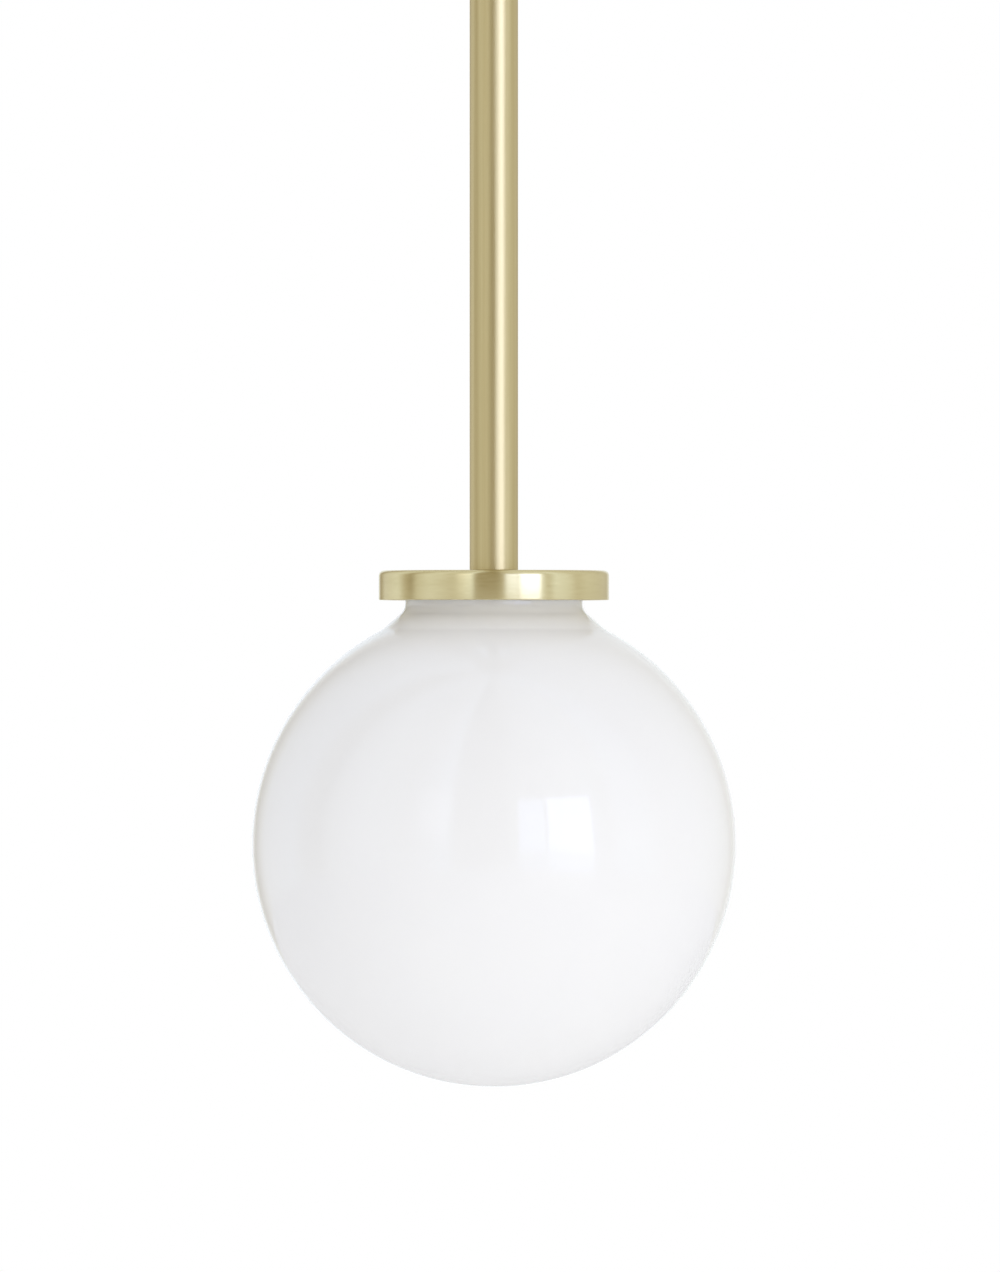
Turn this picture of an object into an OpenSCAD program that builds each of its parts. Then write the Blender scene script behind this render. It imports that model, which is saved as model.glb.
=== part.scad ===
// Pendant ceiling light: a screw-neck opal globe under a turned brass cap, on a rigid brass rod
// that hangs plumb from a ball swivel inside a ceiling canopy.
// Millimetres, +Z up. The origin is the centre of the ceiling bracket's face against the ceiling.

/* [Canopy and bracket] */
// Outside diameter of the ceiling canopy
canopy_d = 104; // [100:1:150]
// Depth of the canopy below the ceiling
canopy_h = 31; // [29:0.5:40]
// Wall of the canopy
canopy_wall = 1.2; // [0.8:0.1:2]
// Width of the hanger bracket's strap
bracket_w = 30; // [28:1:36]
// Thickness of the bracket's sheet steel
bracket_t = 2; // [1.5:0.25:3]
// Distance between the two ceiling fixing slots
fixing_spacing = 60; // [54:1:64]
// Width of a fixing slot
fixing_slot_w = 4.6; // [4:0.1:5.5]
// End-to-end length of a fixing slot
fixing_slot_l = 14; // [8:1:18]

/* [Swivel] */
// Diameter of the swivel ball
ball_d = 18; // [17:0.5:19]
// Depth of the ball's centre below the ceiling
ball_drop = 19; // [18:0.5:21]
// Tilt of the rod each way about each axis, in degrees
swivel_tilt = 8; // [4:1:9]
// Diameter of the two guide pins
guide_pin_d = 2.5; // [2:0.1:3]

/* [Rod] */
// Outside diameter of the rod
rod_d = 15; // [14.5:0.5:19]
// Wall of the rod
rod_wall = 1; // [0.8:0.1:1.2]
// Length of the rod
rod_l = 450; // [250:10:900]
// Diameter of the hollow M10 stem and nipple
nipple_d = 10; // [9.5:0.1:10.5]

/* [Shade cap] */
// Outside diameter of the cap
cap_d = 71.4; // [68:0.2:90]
// Height of the cap
cap_h = 9.2; // [9:0.1:12]
// Wall and top plate of the cap
cap_wall = 1.2; // [0.8:0.1:1.5]
// Radius on the upper edge of the cap and the lower edge of the canopy
cap_edge = 1.6; // [0.3:0.1:1.8]
// Radius on their open lips
cap_lip = 0.25; // [0.1:0.05:0.35]

/* [Globe] */
// Outside diameter of the opal globe
globe_d = 150; // [130:1:220]
// Thickness of the glass
glass_wall = 3; // [2.5:0.1:4]
// Outside diameter of the glass neck
neck_d = 55; // [50:0.1:57]
// Radius of the hollow curve from neck to shoulder
neck_fillet = 4.4; // [3:0.2:8]
// How far below the cap the curve begins
neck_drop = 1; // [0:0.1:2]
// Slope of the short shoulder that runs from the curve to the globe, in degrees from level
shoulder_slope = 41; // [35:1:50]
// Diameter of the crease where the shoulder meets the globe
crease_d = 69; // [64:0.5:76]
// Rise of the screw thread in one turn
thread_pitch = 3.2; // [3.2:0.05:3.4]
// Turns of the thread rib on the neck
thread_turns = 1.05; // [1.02:0.01:1.1]
// How far the rib stands out of the neck
thread_rib = 1.3; // [1:0.1:1.5]

/* [Lamp and lampholder] */
// Diameter of the lamp
lamp_d = 16; // [14:0.5:20]
// Length of the lamp without its pins
lamp_l = 50; // [44:1:60]
// Distance between the lamp's pins
pin_spacing = 9; // [9:0.1:9.2]
// Length of the lamp's pins
pin_l = 11; // [9:0.5:12]
// Width of the ceramic lampholder
holder_w = 24; // [22:0.5:26]
// Depth of the ceramic lampholder, front to back
holder_depth = 15; // [14:0.5:17]
// Height of the ceramic lampholder
holder_h = 19; // [17:0.5:21]

/* [Clearances] */
// Gap round a turning or screwed fit
running_gap = 0.06; // [0.02:0.01:0.1]
// Gap between a sleeve and what is soldered or pressed into it
press_gap = 0.03; // [0.01:0.01:0.05]
// Gap between pieces that move past each other
moving_gap = 0.3; // [0.2:0.05:0.4]
// Gap between a screw's shank and a clearance hole
screw_gap = 0.2; // [0.1:0.05:0.3]

/* [Hidden] */
$fn = 96;
eps = 0.01;

ball_r = ball_d / 2;
ball_z = -ball_drop;
ball_flat = 6.5;                 // height of the ball's flat top above its centre
guide_pin_out = 3.4;             // how far a guide pin stands out of the ball
ball_bore_r = 3.6;
pin_web = 1;                     // metal between the lead bore and a guide pin

seat_flange_r = ball_r + 4;
seat_collar_r = ball_r + 0.6;    // bore of the collar above the ball's equator
seat_body_r = ball_r + 1.6;
seat_drop = 7.5;                 // depth of the seat's lower face below the ball's centre
plate_top_z = ball_z - 4;        // the bracket's raised strap, on which the seat's flange lies
both_tilts = acos(cos(swivel_tilt) * cos(swivel_tilt));
seat_mouth_r = nipple_d / 2 / cos(both_tilts) + seat_drop * tan(both_tilts) + 0.8;

leg_x = seat_flange_r + 4;       // inner face of the bracket's legs
tab_x = canopy_d / 2 - canopy_wall - 0.5;   // outer face of the bracket's end tabs
tab_h = 16;
tab_w = 16;
side_screw_z = -10;
side_screw_d = 4;

rod_r = rod_d / 2;
rod_bore_r = rod_r - rod_wall;
rod_top_z = ball_z - ball_r - 1.5;
bush_l = 12;
canopy_hole_r = rod_r / cos(both_tilts) + (canopy_h - ball_drop) * tan(both_tilts) + 0.5;

cap_r = cap_d / 2;
cap_top_z = rod_top_z - rod_l;
cap_z = cap_top_z - cap_h;       // underside of the cap
cap_roof_z = cap_top_z - cap_wall;
nipple_bore_r = 4;

holder_plate_t = 1.5;
tag_t = 0.8;
washer_t = 0.8;
nut_t = 3.3;
nut_af = 17;                     // lock nut, across flats
tag_top_z = cap_roof_z - holder_plate_t;
washer_top_z = tag_top_z - tag_t;
nut_top_z = washer_top_z - washer_t;
nipple_end_z = nut_top_z - nut_t - 0.8;

globe_r = globe_d / 2;
neck_r = neck_d / 2;
gasket_t = 1;
gasket_top_z = cap_roof_z - 0.05;
rim_z = gasket_top_z - gasket_t - 0.05;
curve_x = neck_r + neck_fillet;  // centre of the hollow curve
curve_z = cap_z - neck_drop;
shoulder_out = [sin(shoulder_slope), cos(shoulder_slope)];   // outward from the shoulder
shoulder_down = [cos(shoulder_slope), -sin(shoulder_slope)]; // down along the shoulder
shoulder_top = [curve_x, curve_z] - neck_fillet * shoulder_out;
shoulder_l = (crease_d / 2 - shoulder_top.x) / shoulder_down.x;
crease_z = shoulder_top.y + shoulder_l * shoulder_down.y;
globe_z = crease_z - sqrt(pow(globe_r, 2) - pow(crease_d / 2, 2));

rib_root = 1.6;                  // thickness of the thread rib at the neck
rib_crest = 0.9;
rib_sunk = 1;                    // part of the rib's section inside the glass
rib_top_z = rim_z - 1.1;
rib_low_z = rib_top_z - thread_pitch * thread_turns;
ring_bore_r = neck_r + thread_rib + 0.5;
ring_lift = 0.2;                 // the ring's recess above the cap's underside
lug_t = 1.1;
lug_width = 12;                  // degrees round the neck
lug_count = 4;
lug_first = 0.12;                // where the first lug meets the rib, in turns
lug_tip_r = neck_r + 0.45;
lug_drop = rib_root / 2 + moving_gap + lug_t / 2;

holder_top_z = cap_z - 9;
holder_base_z = holder_top_z - holder_h;
holder_leg_t = 1.2;
holder_screw_z = holder_top_z - 5.5;
holder_screw_d = 3;
slot_w = 2.6;                    // width of a pin slot across the holder
slot_depth = pin_l + 3;
pin_t = 1;
pin_w = 2.8;
contact_t = 0.5;
lamp_top_z = holder_base_z - 0.4;
lamp_base_h = 11;
lamp_spigot = 3;                 // part of the lamp's base inside its envelope
envelope_wall = 1;
board_w = 8;
board_t = 1;
board_top_z = lamp_top_z - lamp_base_h + 0.9;
pin_root = 4.5;                  // length of a lamp pin inside the base

lead_r = 0.9;
lead_x = pin_spacing / 2 + 2.3;  // where a lead enters the lampholder
lead_hole = 4;
bundle_r = 1.15;                 // distance of each lead's centre from the rod's axis
block_w = 22;
block_depth = 17;
block_h = 13;
block_front_y = bracket_w / 2 + 2.5;
block_mid_y = block_front_y + block_depth / 2;
block_screw_d = 2.8;
block_screw_seat = 7;            // height of the fixing screw's head above the shelf
pole_x = 5;
pole_z = plate_top_z + 6.5;
pole_bore_r = 1.6;
clamp_r = 2.4;
wire_stop = 1.6;                 // web in the middle of a clamp
earth_x = -20;
earth_y = bracket_w / 2 + 9;
earth_screw_d = 4;
shelf_out = block_front_y + block_depth + 1.5;   // reach of the terminal shelf behind the rod
shelf_left = earth_x - 6;
shelf_right = block_w / 2 + 2;
pole_screw_out = 5;              // distance of a clamp's screws from its middle

brass = "#CDC090";
plated_steel = "#B9BCBE";
ceramic_white = "#F1EFE8";
opal = "#F4F4F5";

// ---- shared shapes ----

// A cylinder that hangs down from its top face.
module hang(r, h, top) {
    translate([0, 0, top - h]) cylinder(r = r, h = h);
}

// A turned cup, open at z = 0 and closed at z = h, with a hole through its closed end.
module cup(r, h, wall, hole_r) {
    rotate_extrude() difference() {
        union() {
            square([r - cap_edge, h]);
            square([r - cap_lip, h - cap_edge]);
            translate([0, cap_lip]) square([r, h - cap_edge - cap_lip]);
            translate([r - cap_lip, cap_lip]) circle(cap_lip);
            translate([r - cap_edge, h - cap_edge]) circle(cap_edge);
        }
        translate([-eps, -eps]) square([r - wall + eps, h - wall + eps]);
        translate([-eps, 0]) square([hole_r + eps, h + eps]);
    }
}

// A screw along -Z: its pan head stands on z = 0 and its shank hangs below.
module pan_screw(d, shank) {
    head_r = d * 0.95;
    head_h = d * 0.6;
    difference() {
        union() {
            cylinder(r = head_r, h = head_h);
            hang(d / 2, shank, 0);
        }
        translate([-head_r, -d * 0.1, head_h * 0.5]) cube([2 * head_r, d * 0.2, head_h]);
    }
}

// A ring terminal in the XY plane, its top face at z = 0 and its barrel out along +X.
module ring_tag(bore_r, t, reach) {
    eye_r = bore_r + 2.2;
    tongue_w = 3.2;
    difference() {
        union() {
            hang(eye_r, t, 0);
            translate([0, -tongue_w / 2, -t]) cube([reach, tongue_w, t]);
        }
        hang(bore_r, t + 1, 0.5);
    }
}

function unit(v) = v / norm(v);
function cut_corners(p) = [
    p[0],
    for (i = [0 : len(p) - 2]) each [p[i] * 0.75 + p[i + 1] * 0.25, p[i] * 0.25 + p[i + 1] * 0.75],
    p[len(p) - 1]
];
function heading(p, i) = unit(p[min(i + 1, len(p) - 1)] - p[max(i - 1, 0)]);

// A round tube of radius r along the points p. The vector side is never along the tube.
module tube_along(p, r, side, sides = 8) {
    n = len(p);
    rings = [
        for (i = [0 : n - 1])
            let (t = heading(p, i), u = unit(cross(t, side)), v = cross(t, u))
            for (k = [0 : sides - 1]) p[i] + r * (cos(360 * k / sides) * u + sin(360 * k / sides) * v)
    ];
    walls = [
        for (i = [0 : n - 2], k = [0 : sides - 1])
            let (a = i * sides + k, b = i * sides + (k + 1) % sides)
            each [[a, a + sides, b], [b, a + sides, b + sides]]
    ];
    first_end = [for (k = [0 : sides - 1]) k];
    last_end = [for (k = [sides - 1 : -1 : 0]) (n - 1) * sides + k];
    polyhedron(rings, concat(walls, [first_end, last_end]), convexity = 4);
}

// ---- ceiling group ----

// The folded strap before it is drilled: two feet with end tabs, two legs and the raised middle,
// with a shelf behind it for the terminals. Its ends follow the round of the canopy.
module bracket_blank() {
    intersection() {
        union() {
            for (s = [-1, 1]) {
                translate([s > 0 ? leg_x : -tab_x, -bracket_w / 2, -bracket_t])
                    cube([tab_x - leg_x, bracket_w, bracket_t]);
                translate([s > 0 ? leg_x : -leg_x - bracket_t, -bracket_w / 2, plate_top_z - bracket_t])
                    cube([bracket_t, bracket_w, bracket_t - plate_top_z]);
                translate([s > 0 ? tab_x - bracket_t : -tab_x, -tab_w / 2, -tab_h])
                    cube([bracket_t, tab_w, tab_h]);
            }
            translate([-leg_x - bracket_t, -bracket_w / 2, plate_top_z - bracket_t])
                cube([2 * (leg_x + bracket_t), bracket_w, bracket_t]);
            translate([shelf_left, bracket_w / 2 - eps, plate_top_z - bracket_t])
                cube([shelf_right - shelf_left, shelf_out - bracket_w / 2, bracket_t]);
        }
        hang(tab_x, canopy_h, 0);
    }
}

module hanger_bracket() {
    color(plated_steel) difference() {
        bracket_blank();
        translate([0, 0, plate_top_z]) hang(seat_body_r + press_gap, bracket_t + 1, 0.5);
        for (s = [-1, 1]) {
            translate([s * fixing_spacing / 2, 0, 0]) fixing_slot();
            translate([0, 0, side_screw_z]) rotate([0, s * 90, 0])
                translate([0, 0, tab_x - bracket_t - 1])
                cylinder(r = side_screw_d / 2 + running_gap, h = bracket_t + 2);
        }
        translate([0, block_mid_y, plate_top_z]) hang(block_screw_d / 2 + running_gap, bracket_t + 1, 0.5);
        translate([earth_x, earth_y, plate_top_z])
            hang(earth_screw_d / 2 + running_gap, bracket_t + 1, 0.5);
    }
}

module fixing_slot() {
    slot_r = fixing_slot_w / 2;
    half = fixing_slot_l / 2 - slot_r;
    for (s = [-1, 1]) translate([s * half, 0, 0]) hang(slot_r, bracket_t + 1, 0.5);
    translate([-half, -slot_r, -bracket_t - 0.5]) cube([2 * half, fixing_slot_w, bracket_t + 1]);
}

module ball_seat() {
    slot_half = guide_pin_d / 2 + 0.15;
    color(brass) difference() {
        union() {
            hang(seat_flange_r, 6, plate_top_z + 6);
            hang(seat_body_r, plate_top_z - ball_z + seat_drop, plate_top_z + eps);
        }
        translate([0, 0, ball_z]) sphere(r = ball_r + running_gap);
        translate([0, 0, ball_z]) cylinder(r = seat_collar_r, h = 8);
        hang(seat_mouth_r, 14, ball_z);
        translate([-seat_flange_r - 1, -slot_half, plate_top_z])
            cube([2 * seat_flange_r + 2, 2 * slot_half, 8]);
    }
}

module canopy() {
    color(brass) difference() {
        mirror([0, 0, 1]) cup(canopy_d / 2, canopy_h, canopy_wall, canopy_hole_r);
        for (s = [-1, 1]) translate([0, 0, side_screw_z]) rotate([0, s * 90, 0])
            translate([0, 0, canopy_d / 2 - canopy_wall - 1])
            cylinder(r = side_screw_d / 2 + screw_gap, h = canopy_wall + 2);
    }
}

module canopy_screws() {
    head_r = 4;
    head_h = 3;
    shank = canopy_d / 2 - tab_x + bracket_t + 3;
    color(brass) for (s = [-1, 1]) translate([0, 0, side_screw_z]) rotate([0, s * 90, 0])
        translate([0, 0, canopy_d / 2 + 0.05]) {
            hang(side_screw_d / 2, shank, eps);
            difference() {
                cylinder(r = head_r, h = head_h);
                translate([-head_r, -0.4, head_h - 1]) cube([2 * head_r, 0.8, 1.5]);
            }
        }
}

module terminal_block() {
    color("#E9E7DF") difference() {
        translate([-block_w / 2, block_front_y, plate_top_z]) cube([block_w, block_depth, block_h]);
        for (s = [-1, 1]) {
            translate([s * pole_x, block_front_y - 1, pole_z]) rotate([-90, 0, 0])
                cylinder(r = clamp_r + press_gap, h = block_depth + 2);
            for (k = [-1, 1])
                translate([s * pole_x, block_mid_y + k * pole_screw_out, pole_z])
                    cylinder(r = 1.9, h = block_h);
        }
        translate([0, block_mid_y, plate_top_z - 1])
            cylinder(r = block_screw_d / 2 + screw_gap, h = block_h + 2);
        translate([0, block_mid_y, plate_top_z + block_screw_seat]) cylinder(r = 2.7, h = block_h);
    }
}

module terminal_clamps() {
    half = (block_depth - wire_stop) / 2;
    color("#C9A94F") for (s = [-1, 1]) difference() {
        translate([s * pole_x, block_front_y, pole_z]) rotate([-90, 0, 0])
            cylinder(r = clamp_r, h = block_depth);
        for (y = [block_front_y - 1, block_front_y + half + wire_stop])
            translate([s * pole_x, y, pole_z]) rotate([-90, 0, 0])
                cylinder(r = pole_bore_r, h = half + 1);
        for (k = [-1, 1])
            translate([s * pole_x, block_mid_y + k * pole_screw_out, pole_z])
                cylinder(r = 1.25 + running_gap, h = 4);
    }
}

// The screws on the leads are done up, and the two for the supply stand open.
module terminal_screws() {
    shank = 4;
    color(plated_steel) for (s = [-1, 1], k = [-1, 1])
        translate([s * pole_x, block_mid_y + k * pole_screw_out,
            pole_z + (k < 0 ? lead_r + 0.15 : pole_bore_r + 0.15)]) difference() {
            union() {
                cylinder(r = 1.25, h = shank);
                translate([0, 0, shank - 2.4]) cylinder(r = 1.7, h = 2.4);
            }
            translate([-2, -0.25, shank - 0.7]) cube([4, 0.5, 2]);
        }
}

module block_screw() {
    color(plated_steel) translate([0, block_mid_y, plate_top_z + block_screw_seat])
        pan_screw(block_screw_d, block_screw_seat + bracket_t + 1);
}

module earth_screw() {
    color(brass) translate([earth_x, earth_y, plate_top_z + tag_t])
        pan_screw(earth_screw_d, tag_t + bracket_t + 2);
}

module bracket_earth_tag() {
    color(plated_steel) translate([earth_x, earth_y, plate_top_z + tag_t])
        rotate([0, 0, -50]) ring_tag(earth_screw_d / 2 + screw_gap, tag_t, 7.5);
}

// ---- swivel ----

module guide_pins() {
    inner = ball_bore_r + pin_web;
    color(plated_steel) for (s = [-1, 1]) translate([0, 0, ball_z]) rotate([0, s * 90, 0])
        translate([0, 0, inner + 0.2])
        cylinder(r = guide_pin_d / 2, h = ball_r + guide_pin_out - inner - 0.2);
}

module swivel_ball() {
    color(brass) difference() {
        union() {
            intersection() {
                translate([0, 0, ball_z]) sphere(r = ball_r);
                hang(ball_r + 1, ball_r + ball_flat + 1, ball_z + ball_flat);
            }
            hang(nipple_d / 2, ball_z - rod_top_z + bush_l, ball_z);
        }
        hang(ball_bore_r, ball_d + bush_l + 20, ball_z + ball_r + 1);
        for (s = [-1, 1]) translate([0, 0, ball_z]) rotate([0, s * 90, 0])
            translate([0, 0, ball_bore_r + pin_web])
            cylinder(r = guide_pin_d / 2 + running_gap, h = ball_r);
    }
}

// ---- rod ----

module bush(top) {
    difference() {
        hang(rod_bore_r - press_gap, bush_l, top);
        hang(nipple_d / 2 + running_gap, bush_l + 1, top + 0.5);
    }
}

module rod_top_bush() {
    color("#B8A060") bush(rod_top_z);
}

module rod() {
    color(brass) difference() {
        hang(rod_r, rod_l, rod_top_z);
        hang(rod_bore_r, rod_l + 2, rod_top_z + 1);
    }
}

module rod_bottom_bush() {
    color("#B8A060") bush(cap_top_z + bush_l);
}

module cap_nipple() {
    top = cap_top_z + bush_l - 1;
    color("#B8A060") difference() {
        hang(nipple_d / 2, top - nipple_end_z, top);
        hang(nipple_bore_r, top - nipple_end_z + 2, top + 1);
    }
}

// ---- shade cap and its inside ----

module shade_cap() {
    color(brass) translate([0, 0, cap_z])
        cup(cap_r, cap_h, cap_wall, nipple_d / 2 + running_gap);
}

// The female thread: four lugs on the helix that the neck's rib rides on.
module thread_ring() {
    ring_top = cap_roof_z - 0.1;
    color(brass) union() {
        translate([0, 0, cap_z + ring_lift]) difference() {
            cylinder(r = cap_r - cap_wall - press_gap, h = ring_top - cap_z - ring_lift);
            translate([0, 0, -1]) cylinder(r = ring_bore_r, h = cap_h + 2);
        }
        for (k = [0 : lug_count - 1]) {
            turn = lug_first + k / lug_count;
            translate([0, 0, rib_low_z + thread_pitch * turn - lug_drop - lug_t / 2])
                rotate([0, 0, 360 * turn - lug_width / 2]) rotate_extrude(angle = lug_width)
                translate([lug_tip_r, 0]) square([ring_bore_r - lug_tip_r + 0.6, lug_t]);
        }
    }
}

module lampholder_bracket() {
    inner_x = holder_w / 2 + press_gap;
    leg_w = 10;
    leg_bottom = holder_screw_z - 4;
    color(plated_steel) difference() {
        union() {
            translate([-inner_x - holder_leg_t, -holder_depth / 2, tag_top_z])
                cube([2 * (inner_x + holder_leg_t), holder_depth, holder_plate_t]);
            for (s = [-1, 1])
                translate([s > 0 ? inner_x : -inner_x - holder_leg_t, -leg_w / 2, leg_bottom])
                    cube([holder_leg_t, leg_w, cap_roof_z - leg_bottom]);
        }
        hang(nipple_d / 2 + running_gap, holder_plate_t + 1, cap_roof_z + 0.5);
        for (s = [-1, 1]) translate([0, 0, holder_screw_z]) rotate([0, s * 90, 0])
            translate([0, 0, inner_x - 1])
            cylinder(r = holder_screw_d / 2 + screw_gap, h = holder_leg_t + 2);
    }
}

module cap_earth_tag() {
    color(plated_steel) translate([0, 0, tag_top_z])
        rotate([0, 0, -90]) ring_tag(nipple_d / 2 + running_gap, tag_t, 13);
}

module shakeproof_washer() {
    teeth = 12;
    inner = nipple_d / 2 + running_gap;
    color(plated_steel) difference() {
        hang(inner + 2.6, washer_t, washer_top_z);
        hang(inner, washer_t + 1, washer_top_z + 0.5);
        for (k = [0 : teeth - 1]) rotate([0, 0, (k + 0.5) * 360 / teeth])
            translate([inner + 1.6, -0.4, washer_top_z - washer_t - 0.5]) cube([2, 0.8, washer_t + 1]);
    }
}

module cap_lock_nut() {
    color("#C9A94F") difference() {
        translate([0, 0, nut_top_z - nut_t]) cylinder(r = nut_af / 2 / cos(30), h = nut_t, $fn = 6);
        hang(nipple_d / 2 + running_gap, nut_t + 1, nut_top_z + 0.5);
    }
}

module lampholder() {
    color(ceramic_white) difference() {
        translate([-holder_w / 2, -holder_depth / 2, holder_base_z])
            cube([holder_w, holder_depth, holder_h]);
        for (s = [-1, 1]) {
            translate([s * pin_spacing / 2 - slot_w / 2, -pin_w / 2 - moving_gap, holder_base_z - 1])
                cube([slot_w, pin_w + 2 * moving_gap, slot_depth + 1]);
            translate([s * lead_x, 0, holder_top_z - lead_hole]) cylinder(r = lead_r + 0.2, h = 5);
            translate([0, 0, holder_screw_z]) rotate([0, s * 90, 0])
                translate([0, 0, holder_w / 2 - 2.5])
                cylinder(r = holder_screw_d / 2 + running_gap, h = 4);
        }
    }
}

module lampholder_contacts() {
    color("#C9A94F") for (s = [-1, 1])
        translate([s * (pin_spacing / 2 + slot_w / 2 - press_gap - contact_t / 2) - contact_t / 2,
            -pin_w / 2, holder_base_z + 1])
            cube([contact_t, pin_w, slot_depth - 1.1]);
}

module lampholder_screws() {
    seat_x = holder_w / 2 + press_gap + holder_leg_t;
    color(plated_steel) for (s = [-1, 1]) translate([0, 0, holder_screw_z]) rotate([0, s * 90, 0])
        translate([0, 0, seat_x]) pan_screw(holder_screw_d, holder_leg_t + 2.3);
}

// ---- leads, whole from the terminals to the lampholder ----

// A lead's way up the middle of the rod, at its own corner of the bundle.
function up_the_rod(angle) = [
    for (z = [nipple_end_z - 1.5, nipple_end_z + 8, rod_top_z - 60, rod_top_z, ball_z, ball_z + ball_flat])
        [bundle_r * cos(angle), bundle_r * sin(angle), z]
];

// From the holder's top to the bundle, up the rod, and over into a terminal clamp.
function supply_route(s, angle) = concat(
    [[s * lead_x, 0, holder_top_z - lead_hole + 0.2], [s * lead_x, 0, holder_top_z + 2]],
    up_the_rod(angle),
    [
        [s * 2, 2.5, ball_z + ball_flat + 6],
        [s * pole_x, block_front_y - 9, ball_z + ball_flat + 4],
        [s * pole_x, block_front_y - 4, pole_z],
        [s * pole_x, block_front_y + (block_depth - wire_stop) / 2 - 1.2, pole_z]
    ]
);

earth_route = concat(
    [
        [0, -11.5, tag_top_z - tag_t - lead_r - 0.2],
        [0, -14.5, tag_top_z - tag_t - lead_r - 0.2],
        [0, -15, nipple_end_z - 4],
        [0, -6, nipple_end_z - 6]
    ],
    up_the_rod(210),
    [
        [-6, -1, ball_z + ball_flat + 5],
        [-14, 6, ball_z + ball_flat],
        [earth_x + 6.5, earth_y - 9.5, plate_top_z + tag_t + lead_r + 0.3],
        [earth_x + 3.6, earth_y - 4.3, plate_top_z + tag_t + lead_r + 0.1]
    ]
);

module lead(route) {
    tube_along(cut_corners(cut_corners(route)), lead_r, [0.8, -0.55, 0.25]);
}

module live_lead() {
    color("#8A4B2A") lead(supply_route(1, -30));
}

module neutral_lead() {
    color("#3F78B5") lead(supply_route(-1, 90));
}

module earth_lead() {
    color("#6FA83C") lead(earth_route);
}

// ---- globe ----

module shade_gasket() {
    color("#D8D8D4") translate([0, 0, gasket_top_z - gasket_t]) difference() {
        cylinder(r = lug_tip_r - moving_gap, h = gasket_t);
        translate([0, 0, -1]) cylinder(r = neck_r - glass_wall, h = gasket_t + 2);
    }
}

// Half section of the glass, inset by t from its outer surface: globe, a crease, the short
// shoulder, the hollow curve and the neck. The shoulder runs on into the globe past the crease.
module glass_section(t) {
    globe_mid = [0, globe_z];
    curve_mid = [curve_x, curve_z];
    past_crease = 2;
    intersection() {
        union() {
            translate(globe_mid) circle(globe_r - t);
            difference() {
                polygon([
                    globe_mid, [0, curve_z], curve_mid,
                    shoulder_top - t * shoulder_out,
                    shoulder_top + (shoulder_l + past_crease) * shoulder_down - t * shoulder_out
                ]);
                translate(curve_mid) circle(neck_fillet + t);
            }
            translate([0, curve_z - eps])
                square([neck_r - t, rim_z - curve_z + (t > 0 ? 1 : 0) + eps]);
        }
        translate([0, globe_z - globe_r - 1]) square([globe_r + 1, 2 * globe_r + cap_h + 2]);
    }
}

// The thread rib: a tapered section carried up a helix, sunk into the neck.
module thread_rib_sweep() {
    steps = ceil(36 * thread_turns);
    run_out = 3;
    stations = [
        for (i = [0 : steps])
            let (
                a = 360 * thread_turns * i / steps,
                z = rib_low_z + thread_pitch * thread_turns * i / steps,
                grow = min(1, min(i, steps - i) / run_out),
                inner = neck_r - rib_sunk,
                outer = neck_r - rib_sunk / 2 + (thread_rib + rib_sunk / 2) * grow
            )
            each [
                [inner * cos(a), inner * sin(a), z - rib_root / 2],
                [outer * cos(a), outer * sin(a), z - rib_crest / 2],
                [outer * cos(a), outer * sin(a), z + rib_crest / 2],
                [inner * cos(a), inner * sin(a), z + rib_root / 2]
            ]
    ];
    walls = [
        for (i = [0 : steps - 1], k = [0 : 3])
            let (a = 4 * i + k, b = 4 * i + (k + 1) % 4)
            each [[a, b, a + 4], [b, b + 4, a + 4]]
    ];
    last = 4 * steps;
    polyhedron(stations, concat(walls, [[3, 2, 1, 0], [last, last + 1, last + 2, last + 3]]), convexity = 4);
}

module glass_globe() {
    color(opal, 0.9) union() {
        rotate_extrude() difference() {
            glass_section(0);
            glass_section(glass_wall);
        }
        thread_rib_sweep();
    }
}

// ---- lamp ----

module lamp_base() {
    color("#EDEDEA") difference() {
        union() {
            hang(lamp_d / 2, lamp_base_h, lamp_top_z);
            hang(lamp_d / 2 - envelope_wall - moving_gap, lamp_base_h + lamp_spigot, lamp_top_z);
        }
        for (s = [-1, 1])
            translate([s * pin_spacing / 2 - pin_t / 2 - press_gap, -pin_w / 2 - press_gap,
                lamp_top_z - pin_root - press_gap])
                cube([pin_t + 2 * press_gap, pin_w + 2 * press_gap, pin_root + 1]);
        translate([-board_w / 2 - 0.2, -board_t / 2 - 0.1, board_top_z - 0.2 - lamp_base_h])
            cube([board_w + 0.4, board_t + 0.2, lamp_base_h + 0.4]);
    }
}

module lamp_pins() {
    color(plated_steel) for (s = [-1, 1])
        translate([s * pin_spacing / 2 - pin_t / 2, 0, lamp_top_z - pin_root]) {
            translate([0, -pin_w / 2, 0]) cube([pin_t, pin_w, pin_root + pin_l - pin_w / 2]);
            translate([0, 0, pin_root + pin_l - pin_w / 2]) rotate([0, 90, 0])
                cylinder(r = pin_w / 2, h = pin_t);
        }
}

module lamp_envelope() {
    r = lamp_d / 2;
    top = lamp_top_z - lamp_base_h - 0.05;
    tip = lamp_top_z - lamp_l;
    color("#F5F4EF", 0.8) difference() {
        union() {
            hang(r, top - tip - r, top);
            translate([0, 0, tip + r]) sphere(r = r);
        }
        translate([0, 0, tip + r]) cylinder(r = r - envelope_wall, h = lamp_l);
        translate([0, 0, tip + r]) sphere(r = r - envelope_wall);
    }
}

module led_board() {
    board_l = lamp_l - lamp_base_h - lamp_d / 2;
    color("#F0F0EE") translate([-board_w / 2, -board_t / 2, board_top_z - board_l])
        cube([board_w, board_t, board_l]);
}

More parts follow.
